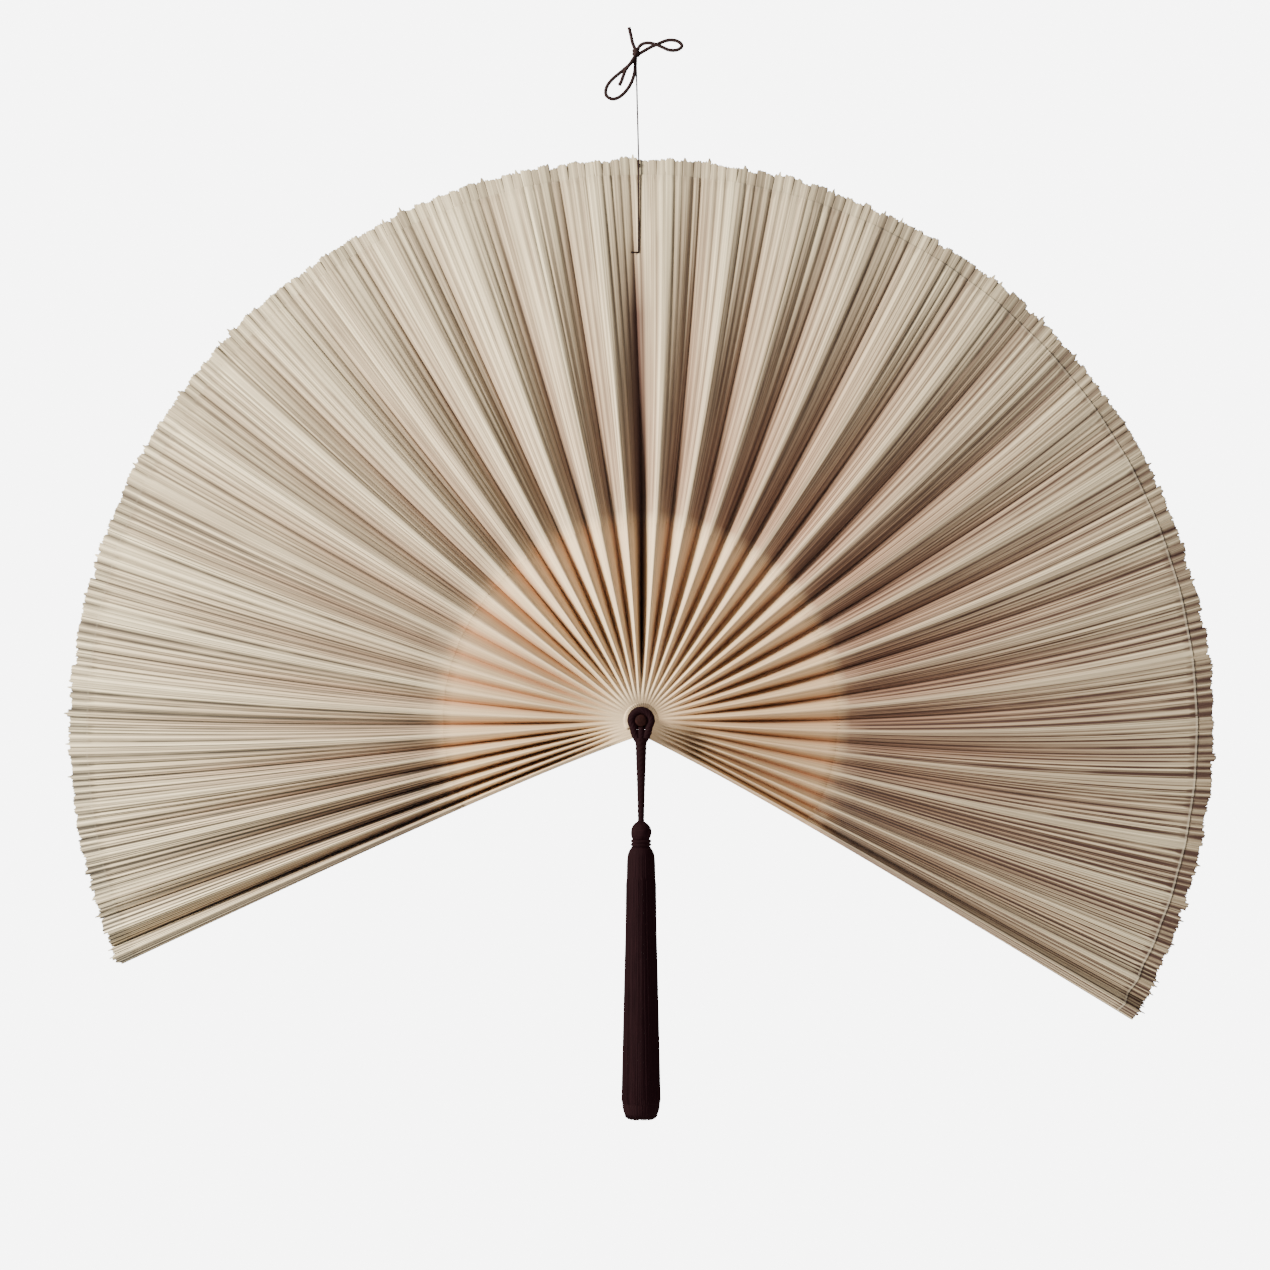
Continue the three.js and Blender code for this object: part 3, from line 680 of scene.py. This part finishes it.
# %% [markdown]
# The face of a pleat is a strip 25 mm wide that lies flat on the pin, twists to stand almost on edge by
# 150 mm from it, and leans over again as the pleats get wider. From the cloth outward the four splints of
# a face fan out, and the pleat is only 4 mm deep at the rim. Near the fan's ends, where the pleats are
# narrow, the same strips have to stand steeper, so there the folds stay deep all the way. No two splints
# lie quite alike: each has its own height and tilt, and the gaps between them wander. The middle valley,
# where the thread hangs, lies deepest.

# %% The shape of a pleat
SLAT_W, LAYER = 25 * MM, 0.95 * MM
TWIST_START, TWIST_END, RIM_DEPTH = 22 * MM, 150 * MM, 4 * MM
CREST_INSIDE, CREST_OUTSIDE = 0.24, 0.07
CREST_FROM, CREST_TO = LEAF_R - 60 * MM, LEAF_R + 120 * MM
DEEPER, DEEP_FROM, DEEP_FULL, DEEP_UNTIL = 9 * MM, 30 * MM, 110 * MM, 560 * MM
rng = np.random.default_rng(7)
gap_drift = rng.uniform(-0.2, 0.2, (PLEATS, SPLINTS_PER_PLEAT + 1)) / (SPLINTS_PER_PLEAT / 2)
gap_drift[:, [0, SPLINTS_PER_PLEAT // 2, -1]] = 0
splint_height = rng.uniform(-0.3, 0.3, SPLINTS) * MM
splint_tilt = rng.uniform(-0.5, 0.5, SPLINTS) * MM
uneven_at = (np.arange(SPLINTS)[:, None] + [0.12, 0.88]).ravel()
uneven_by = (splint_height[:, None] + splint_tilt[:, None] * [-1, 1]).ravel()


def outward(r):
    """The share of the way from the cloth's inner edge to the tips."""
    return np.clip((r - LEAF_R) / (TIP_R - LEAF_R), 0, 1)


def fold_depth(r, half):
    """How far the valleys lie behind the ridge at radius r: what is left of the strip's width, by the
    theorem of Pythagoras, and beyond the cloth's edge at least a depth that falls to that at the rim."""
    inner = np.sqrt(np.maximum(SLAT_W**2 - (r * half) ** 2, 0))
    start = np.sqrt(SLAT_W**2 - (LEAF_R * np.radians(FULL_PITCH) / 2) ** 2)
    outer = RIM_DEPTH + (start - RIM_DEPTH) * (1 - outward(r) ** 2)
    return np.where(r > LEAF_R, np.maximum(inner, outer), inner) * eased(TWIST_START, TWIST_END, r)


def about_pin(r, aside, angle, back):
    """Points at radius r from the pin in a direction, moved aside at right angles to it, and back."""
    x, z = r * np.sin(angle) + aside * np.cos(angle), r * np.cos(angle) - aside * np.sin(angle)
    return np.stack(np.broadcast_arrays(x, back, z), -1) + PIVOT


def pleat_surface(k, r, u):
    """Points of pleat k at radius r and splint number u, from 0 at its left valley over 4 at the ridge to
    8 at its right valley. The depth is the fold's depth times a V with a rounded crest. The layer grows
    evenly from pleat to pleat, so neighbours share their valley."""
    r, u = np.broadcast_arrays(r, u)
    out = outward(r)
    x = u / 4 - 1 + out * np.interp(u, np.arange(SPLINTS_PER_PLEAT + 1), gap_drift[k])
    line = k + (x + 1) / 2
    half = np.interp(line, np.arange(PLEATS) + 0.5, half_pitch)
    crest = CREST_INSIDE + (CREST_OUTSIDE - CREST_INSIDE) * eased(CREST_FROM, CREST_TO, r)
    v = (np.sqrt(x * x + crest**2) - crest) / (np.sqrt(1 + crest**2) - crest)
    back = LAYER * (line - 0.5 - CENTRE_SLAT) + fold_depth(r, half) * (v - 0.5)
    back = back - np.interp(k * SPLINTS_PER_PLEAT + u, uneven_at, uneven_by) * eased(0, 0.4, out)
    middle = np.clip(1 - np.abs(line - CENTRE_SLAT) * 2, 0, 1) * eased(DEEP_FROM, DEEP_FULL, r)
    back = back + DEEPER * middle * (1 - eased(LEAF_R, DEEP_UNTIL, r))
    direction = ridges[k] + half_pitch[k] * x
    return about_pin(reach(r, direction), edge_aside(line, r), direction + lean(direction, r), back)


def frontward(points):
    """Unit vectors square to a grid of points, towards the viewer."""
    across, out = np.gradient(points, axis=1), np.gradient(points, axis=0)
    n = np.cross(across, out)
    n /= np.maximum(np.linalg.norm(n, axis=-1, keepdims=True), 1e-12)
    return np.where(n[..., 1:2] > 0, -n, n)


def run_map(k, r, u):
    """The flat map: across it the place among all pleats, up it the distance from the pin."""
    r, u = np.broadcast_arrays(r, u)
    return np.stack([(k + u / SPLINTS_PER_PLEAT) / PLEATS, r / TIP_R], -1)


def body_of(k):
    """The body that pleat k rides on: the two beside the middle valley hang from the thread."""
    return "hub" if k in (CENTRE_SLAT - 1, CENTRE_SLAT) else f"slat_body_{k + 1:02d}"


# %% [markdown]
# ## Bare strips and splints
#
# Near the pin the two faces of a pleat are smooth strips that meet at a rounded ridge. Beyond the cloth's
# inner edge each face is four splints, which lie behind the cloth and show at the back and at their tips.
# The tips are cut unevenly and have frayed, and some fibres stand out. Each splint is slightly crowned. The
# gap between two grows outwards, and closes at the hem, where the cloth's edge binds them side by side.

# %% Strips and splints of one pleat
STRAYS, STRAY_LENGTH = 40, 4.6 * MM
tip_reach = TIP_R + np.clip(rng.normal(0, 1.5, SPLINTS), -3.2, 3.2) * MM
tip_slant = rng.uniform(-2.2, 2.2, SPLINTS) * MM
tip_narrow = rng.uniform(0.7, 1.0, SPLINTS)
tip_lift = rng.normal(0, 0.25, SPLINTS) * MM
tip_fray = rng.uniform(-1.6, 0.7, (SPLINTS, 9)) * MM
stray = rng.choice(SPLINTS, STRAYS, replace=False)
stray_fibre = rng.integers(1, 7, STRAYS)
for fibre in (stray_fibre, stray_fibre + 1):
    tip_fray[stray, fibre] += STRAY_LENGTH
STRIP_T, STRIP_FROM, STRIP_TO = 0.7 * MM, 13 * MM, 252 * MM
SPLINT_ROWS = np.concatenate([np.linspace(246, 684, 20), [688, 692, 696]]) * MM
SPLINT_T, TUCK, TUCK_UNTIL = 1.1 * MM, 1 * MM, 262 * MM
GAP_INSIDE, GAP_GROWTH, GAP_CLOSING = 0.04, 0.16, 0.27
CROWN, CROWN_SUNK, FRAY_LENGTH = 0.35 * MM, 0.1 * MM, 3 * MM


def strip_patch(k):
    """The folded strip from the pin to just under the cloth, as a closed plate."""
    r = np.linspace(STRIP_FROM, STRIP_TO, 60)[:, None]
    s = np.sin(np.linspace(-1, 1, 37) * np.pi / 2)[None, :]
    u = 4 + 4 * np.sign(s) * np.abs(s) ** 1.3
    front = pleat_surface(k, r, u)
    return plate_patch(front, front - STRIP_T * frontward(front), run_map(k, r, u))


def splint_patch(k, s):
    """One splint, from behind the end of the strip to its tip, as a closed plate with a low crown. Across
    it runs j, from 0 to 1."""
    n = k * SPLINTS_PER_PLEAT + s
    t = np.concatenate([np.linspace(0, 0.75, 5), np.linspace(0.85, 1, 4)])[:, None]
    j = np.linspace(0, 1, 9)[None, :]
    end = tip_reach[n] + tip_slant[n] * (j - 0.5) + tip_fray[n]
    r = np.concatenate([SPLINT_ROWS[:, None] + 0 * j, HEM_R - MM + (end - HEM_R + MM) * t])
    gap = GAP_INSIDE + GAP_GROWTH * np.clip((r - LEAF_R) / (HEM_R - LEAF_R), 0, 1)
    gap = gap - GAP_CLOSING * eased(HEM_R - 14 * MM, HEM_R - 2 * MM, r)
    width = (1 - gap) * (1 - (1 - tip_narrow[n]) * eased(end - FRAY_LENGTH, end, r))
    u = s + 0.5 + (j - 0.5) * width
    front = pleat_surface(k, r, u)
    crown = CROWN * (1 - (2 * j - 1) ** 2) - CROWN_SUNK
    front = front + frontward(front) * crown[..., None]
    front[..., 1] -= tip_lift[n] * eased(HEM_R, TIP_R, r) - TUCK * (1 - eased(SPLINT_ROWS[0], TUCK_UNTIL, r))
    return plate_patch(front, front - SPLINT_T * frontward(front), run_map(k, r, u))


for k in range(PLEATS):
    patches = [strip_patch(k)] + [splint_patch(k, s) for s in range(SPLINTS_PER_PLEAT)]
    piece = make(f"splints_{k + 1:02d}", patches, bamboo, body_of(k), f"slat_{k + 1:02d}")
print("splints:", SPLINTS, "in", PLEATS, "pieces of", len(piece.data.polygons), "faces")

# %% [markdown]
# ## Eyes on the pin
#
# Every slat ends in a flat round eye with a short tongue, in its own layer of the stack. They hardly show
# from the front, but the fan turns on them, and the side view looks into the stack.

# %% Eyes
TONGUE_R, TONGUE_T = 22 * MM, 0.5 * MM


def ring_patch(outline, steps, uv):
    """A small closed outline of radii and depths, carried round the pin."""
    r, y = outline.T
    rings = about_pin(r, 0, np.linspace(0, 2 * np.pi, steps)[:, None], y)
    return tube_patch(rings, np.broadcast_to(uv, (steps, len(outline), 2)))


def eye_patches(k):
    """A flat ring round the pin, and the tapered tongue that leads to the strip."""
    y = LAYER * (k - CENTRE_SLAT)
    outline = np.array([[3.1, -0.26], [7.5, -0.26], [7.5, 0.26], [3.1, 0.26]]) * MM + [0, y]
    ring = ring_patch(outline, 41, ((k + 0.4) / PLEATS, 0.01))
    r = np.linspace(6 * MM, TONGUE_R, 7)[:, None]
    j = np.linspace(-1, 1, 5)[None, :]
    side = (2.4 - 0.4 * (r / TONGUE_R)) * MM * j
    front = about_pin(r, side, slat_direction[k], y - TONGUE_T / 2)
    return [ring, plate_patch(front, front + [0, TONGUE_T, 0], run_map(k, r, 4 + 2 * j))]


for k in range(PLEATS):
    make(f"eye_{k + 1:02d}", eye_patches(k), bamboo, body_of(k))

# %% [markdown]
# ## The gauze leaf
#
# The cloth lies over the splints from 249 to 701 mm. It is one pleated piece on the real fan. Here each pleat
# has its own length of it, which rides on that pleat's slat, so the leaf turns with the slats. It lies on the
# crown of each splint and dips into the gaps, deeper towards the rim where the gaps are wide. The dips have
# stretched it by about a fiftieth.

# %% The leaf, pleat by pleat
gap_depth = rng.uniform(0.4, 1.5, SPLINTS + 1)
gap_beat = rng.uniform(0, 2 * np.pi, SPLINTS + 1)
DIP_WIDTH, BEAT_LENGTH, CLOTH_CROWN = 0.12, 38 * MM, 0.3 * MM
CLOTH_LIFT, EDGE_DROP, EDGE_RISE = 1.2 * MM, 1.05 * MM, 70 * MM
HEM_STEP, HEM_TUCK, STRETCH = 0.12 * MM, 0.35 * MM, 1.02
cloth_area = 0.0


def cloth_points(k):
    """The pleat's surface, moved forward onto the splints: a low crown over each, and a narrow dip at
    each gap whose depth grows with the radius, differs from gap to gap and slowly comes and goes. The
    inner edge lies down on the strips, and the columns crowd at the gaps."""
    r = np.linspace(LEAF_R, HEM_R, 60)[:, None]
    u = np.linspace(0, SPLINTS_PER_PLEAT, SPLINTS_PER_PLEAT * 8 + 1)[None, :]
    u = u - 0.36 * np.sin(2 * np.pi * u) / (2 * np.pi)
    points = pleat_surface(k, r, u)
    near = np.round(u)
    number = (k * SPLINTS_PER_PLEAT + near).astype(int)
    share = 0.25 + 0.75 * outward(r)
    beat = 0.8 + 0.2 * np.sin(r / BEAT_LENGTH + gap_beat[number])
    dip = gap_depth[number] * share * beat * np.exp(-(((u - near) / DIP_WIDTH) ** 2)) * MM
    crown = CLOTH_CROWN * (2 * (u - near)) ** 2
    hem = HEM_STEP * eased(HEM_R - 4 * MM, HEM_R - 3 * MM, r) - HEM_TUCK * eased(HEM_R - 20 * MM, HEM_R, r)
    lift = CLOTH_LIFT - EDGE_DROP * (1 - eased(LEAF_R, LEAF_R + EDGE_RISE, r))
    points[..., 1] -= lift + hem + crown - dip
    return points, run_map(k, r, u)


def area_of(points):
    """The area of a grid of points: the sum of the cross products of its cells' sides."""
    a, b = np.diff(points, axis=0)[:, :-1], np.diff(points, axis=1)[:-1]
    return float(np.linalg.norm(np.cross(a, b), axis=-1).sum())


for k in range(PLEATS):
    points, uv = cloth_points(k)
    node = "leaf" if body_of(k) == "hub" else None
    piece = make(f"leaf_{k + 1:02d}", [sheet_patch(points, uv)], gauze, body_of(k), node)
    area = area_of(points) / STRETCH
    cloth_area += area
print("leaf:", round(cloth_area, 3), "square metres of gauze")

# %% [markdown]
# ## Pieces of each pleat
#
# A pleat that closes brings its two faces together. Each pleat's pieces ride on their slat. The two centre
# pleats, which the hanging thread keeps open, ride on the hub, and the splints and leaf of every other pleat
# get a mesh of their own.

# %% A mesh of its own for each turning pleat's pieces
for k in range(PLEATS):
    if body_of(k) == "hub":
        continue
    for name in ("splints", "leaf"):
        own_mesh(bpy.data.objects[f"{name}_{k + 1:02d}"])

# %% [markdown]
# ## Pin and washers
#
# A red-brown pin head sits in the tassel's loop. Its boss carries the loop, a dark washer keeps the stack
# of eyes together at each side, and the shaft ends in a flat head at the back.

# %% Pin and washers
EYE_T, GAP, WASHER_T, LOOP_CORD_R = 0.6, 0.4, 1.2, 5
stack_back = CENTRE_SLAT * LAYER / MM + EYE_T / 2
rear = stack_back + 2 * GAP + WASHER_T
loop_y = -rear - LOOP_CORD_R
boss_front = loop_y - LOOP_CORD_R + 0.8

dome = np.linspace(0, np.pi / 2, 10)
profile = [(7.6 * np.sin(a) * 0.97 + 0.001, boss_front - 2.2 * np.cos(a) ** 0.9) for a in dome[1:]]
profile += [(7.6, boss_front - 0.1), (7.4, boss_front), (6.9, boss_front + 0.05), (6.9, -rear),
            (2.4, -rear), (2.4, rear), (8.7, rear), (9.0, rear + 0.3), (9.0, rear + 1.7), (8.8, rear + 2)]
pin_r, pin_y = np.array(profile).T * MM
pin_form = turned(pin_r, pin_y, PIVOT, "y")
make("pin_and_heads", [pin_form], lacquer, "hub", "pin", smooth=False)


def washer(side, y):
    """A flat ring with softened edges, from depth y backwards."""
    outline = np.array([[3, 0], [11.7, 0], [12, 0.3], [12, 0.9], [11.7, 1.2], [3, 1.2]]) + [0, y]
    name, patch = f"{side}_washer", ring_patch(outline * MM, 65, (0, 0))
    make(name + "_disc", [patch], lacquer, "hub", name, smooth=False)


washer("front", -stack_back - GAP - WASHER_T)
washer("rear", stack_back + GAP)

# %% [markdown]
# ## The tassel
#
# A thick yarn loop lies round the pin head like a drop, its two ends twist into a neck that tapers down to
# a ball knot, and below a double binding hang some hundreds of strands. The loop and neck are laid cords,
# with a short throat where they meet, the ball is a turned form with crossing ridges, and the skirt is a
# fluted core under separate strands.

# %% Loop and neck
LOOP_R, LOOP_PITCH, NECK_PITCH = 12.5, 30 * MM, 26 * MM
centre = PIVOT + [0, loop_y * MM, 0]
bend = np.radians(np.arange(-125, 126, 25))
loop_xz = [(-1.6, -27.5), (-5.9, -21), (-8.3, -15.4)]
loop_xz += [(LOOP_R * np.sin(a), LOOP_R * np.cos(a)) for a in bend] + [(8.3, -15.4), (5.9, -21), (1.6, -27.5)]
loop_path = smooth_path(np.array([[x, 0, z] for x, z in loop_xz]) * MM + centre, 200)
neck_path = centre + np.linspace([0, 0, -22], [0, 0, -127.4], 150) * MM
neck_r = (4.1 + 3.4 * np.linspace(1, 0, 150) ** 1.3) * MM
throat_path = centre + np.linspace([0, 0, -8.5], [0, 0, -25], 30) * MM
throat_r = np.linspace(4.2, 5.6, 30) * MM
make("tassel_loop_cord", [
    rope(loop_path, LOOP_CORD_R * MM, 6, LOOP_PITCH, 0.1, 36),
    rope(throat_path, throat_r, 6, LOOP_PITCH, 0.1, 24),
    rope(neck_path, neck_r, 4, NECK_PITCH, 0.07, 28),
], tassel_cord, "tassel", "tassel_loop")


# %% Ball knot and binding
def side_view(points, count):
    """Radii and heights of a turned form, on the smooth curve through the points of its side view."""
    path = smooth_path(np.array([[r, 0, z] for r, z in points]) * MM, count)
    return path[:, 0], path[:, 2]


BALL_MIDDLE, BALL_BANDS, BALL_LEAN, BALL_RIDGE = -138.25 * MM, 5, 260, 0.3 * MM


def ball_ridges(angle, along):
    """Crossing bands of wound yarn: the higher of two sets of ridges that lean opposite ways."""
    turn = BALL_LEAN * (along - BALL_MIDDLE)
    one, two = np.cos(BALL_BANDS * angle + turn), np.cos(BALL_BANDS * angle - turn)
    return BALL_RIDGE * (np.maximum(one, two) - 0.6)


ball_r, ball_z = side_view([
    (3.6, -126), (5.6, -127.4), (8.6, -129.8), (11.1, -132.9), (12.8, -136.8), (13.2, -140.3), (12.8, -143.8),
    (11.8, -146.9), (10.7, -149.2),
], 70)
ball_form = turned(ball_r, ball_z, centre, waves=ball_ridges)
make("tassel_ball_knot", [ball_form], tassel_cord, "tassel", "tassel_ball")

BIND_TOP, BIND_BOTTOM, BIND_R, BAND_RISE = -149.2, -157.9, 10.7, 2.3
BAND_WIDTH, THREAD_WIDTH, THREAD_RISE = 4.35, 0.7 * MM, 0.12 * MM


def wound_thread(angle, along):
    """One fine thread, wound round and round: a wave along the form that turns once in its own width."""
    return THREAD_RISE * np.cos(angle + 2 * np.pi * along / THREAD_WIDTH)


z = np.linspace(BIND_TOP, BIND_BOTTOM, 70)
band_r = BIND_R + BAND_RISE * np.sqrt(np.abs(np.sin(np.pi * (z - BIND_TOP) / BAND_WIDTH)))
bands = turned(band_r * MM, z * MM, centre, waves=wound_thread)
make("tassel_binding_rings", [bands], tassel_cord, "tassel", "tassel_binding")

# %% Skirt
SKIRT_TOP, SKIRT_BOTTOM = BIND_BOTTOM * MM, -501.5 * MM
CORE_FOOT, CORE_RAISED, ENDS_TOP = -480 * MM, 1.5 * MM, -485 * MM
STRANDS, ENDS, STRAND_R, FLUTE = 400, 150, 0.85 * MM, 0.16 * MM
skirt_r, skirt_z = side_view([
    (11.4, -157.9), (13.9, -161), (15.9, -165), (17.2, -170), (18, -180), (18.3, -200), (18.6, -227),
    (19, -262), (20, -300), (21.2, -350), (22.4, -400), (23.4, -445), (24.1, -475), (23.9, -483),
    (23, -489.5), (21.2, -495), (18.2, -499), (13.5, -501.2),
], 240)


def flutes(angle, along):
    """Uneven upright ridges: three waves round the skirt that don't share a beat."""
    deep = eased(-SKIRT_TOP, -SKIRT_TOP + 12 * MM, -along)
    return deep * FLUTE * (np.cos(41 * angle) + np.cos(67 * angle + 1) + np.cos(103 * angle + 2))


core_z = skirt_z + CORE_RAISED * (skirt_z < CORE_FOOT)
core = turned(skirt_r - 0.5 * MM, core_z, centre, around=260, waves=flutes)


def strand_patches(share, top):
    """Separate strands: each keeps its angle and its share of the radius on the way down, wanders a
    little, and ends a little higher or lower than the next."""
    count = len(share)
    angle = rng.uniform(0, 2 * np.pi, count)
    bottom = SKIRT_BOTTOM + rng.uniform(-0.6, 3.4, count) * MM + 1.5 * MM * share**4
    t = np.linspace(0, 1, 13)[None, :] ** 0.8
    z = top + (bottom - top)[:, None] * t
    r = (np.interp(-z, -skirt_z, skirt_r) + 0.1 * MM) * share[:, None]
    a = angle[:, None]
    wander = a + 0.03 * np.sin(5 * t + a * 7) + 0.05 * (t - 0.5) * np.sin(a * 13)
    path = np.stack([r * np.cos(wander), r * np.sin(wander), z], -1)
    around = np.radians([45, 135, 225, 315])
    thick = STRAND_R * (1 - 0.5 * eased(0.95, 1, t)) * (0.4 + 0.6 * eased(0, 0.04, t))
    ring = np.stack([np.cos(around), np.sin(around), 0 * around], -1)
    rings = path[:, :, None] + thick[..., None, None] * ring
    patches = []
    for i in range(count):
        uv = np.stack(np.broadcast_arrays(angle[i] / 6.3 + around[None] * 0.001, z[i][:, None]), -1)
        patches.append(tube_patch(rings[i] + centre, uv))
    return patches


strands = strand_patches(rng.uniform(0.965, 1.0, STRANDS), SKIRT_TOP - 0.6 * MM)
ends = strand_patches(np.sqrt(rng.uniform(0.02, 0.85, ENDS)), ENDS_TOP)
patches = [core, *strands, *ends]
skirt = make("tassel_skirt_strands", patches, tassel_yarn, "tassel", "tassel_skirt")
print("tassel:", len(strands), "strands,", len(skirt.data.polygons), "faces")

# %% [markdown]
# ## Floor, light and background
#
# The photograph shows the fan on plain white. A pale floor lies well below it, and the white comes from
# the world behind. One soft light stands at the left, a little above, and grazes the pleats, so that
# their left faces are bright and their right faces lie in shade. It is warm. A faint fill from the front
# right and the weak light from all round are slightly cool, and a last light stands behind.

# %% Floor
floor_mesh = bpy.data.meshes.new("floor")
HALF, FLOOR_Z = 2.2, -1.95
corners = [(x * HALF, y * HALF, FLOOR_Z) for x, y in ((-1, -1), (1, -1), (1, 1), (-1, 1))]
floor_mesh.from_pydata(corners, [], [(0, 1, 2, 3)])
floor = add_object("floor", floor_mesh)
floor_paint = Nodes("pale_floor")
floor_paint.surface({"Base Color": (0.82, 0.82, 0.81), "Roughness": 0.9})
floor_mesh.materials.append(floor_paint.material)


# %% Lights and world
AIM = Vector((0, 0, -0.65))


def area_light(name, place, size, watts, colour):
    """A square soft light that looks at the fan's middle."""
    data = bpy.data.lights.new(name, "AREA")
    data.size, data.energy, data.color = size, watts, colour
    light = add_object(name, data)
    light.location = place
    light.rotation_euler = (AIM - Vector(place)).to_track_quat("-Z", "Y").to_euler()


FAN_MIDDLE = np.array([6, 0, -650]) * MM
KEY_DISTANCE, KEY_ANGLE, KEY_RISE = 3.6, np.radians(-72), np.radians(28)
in_plane = KEY_DISTANCE * np.cos(KEY_RISE)
key_place = FAN_MIDDLE + np.array([
    in_plane * np.sin(KEY_ANGLE), -KEY_DISTANCE * np.sin(KEY_RISE), in_plane * np.cos(KEY_ANGLE),
])
area_light("key", tuple(key_place), 0.95, 535, (1.0, 0.95, 0.815))
area_light("fill", (3.0, -3.8, 0.2), 2.4, 28, (0.92, 0.92, 1.0))
area_light("back", (1.5, 4.5, 0.5), 3.0, 120, (1.0, 0.95, 0.9))

world = bpy.data.worlds.new("studio")
bpy.context.scene.world = world
world.use_nodes = True
tree = world.node_tree
tree.nodes.clear()
kinds = ("Background", "Background", "LightPath", "MixShader", "OutputWorld")
seen, lit, ray, mix, out = (tree.nodes.new(f"ShaderNode{kind}") for kind in kinds)
seen.inputs[0].default_value, seen.inputs[1].default_value = (1, 1, 1, 1), 7.0
lit.inputs[0].default_value, lit.inputs[1].default_value = (0.92, 0.9, 1.0, 1), 0.085
tree.links.new(ray.outputs["Is Camera Ray"], mix.inputs[0])
tree.links.new(lit.outputs[0], mix.inputs[1])
tree.links.new(seen.outputs[0], mix.inputs[2])
tree.links.new(mix.outputs[0], out.inputs[0])
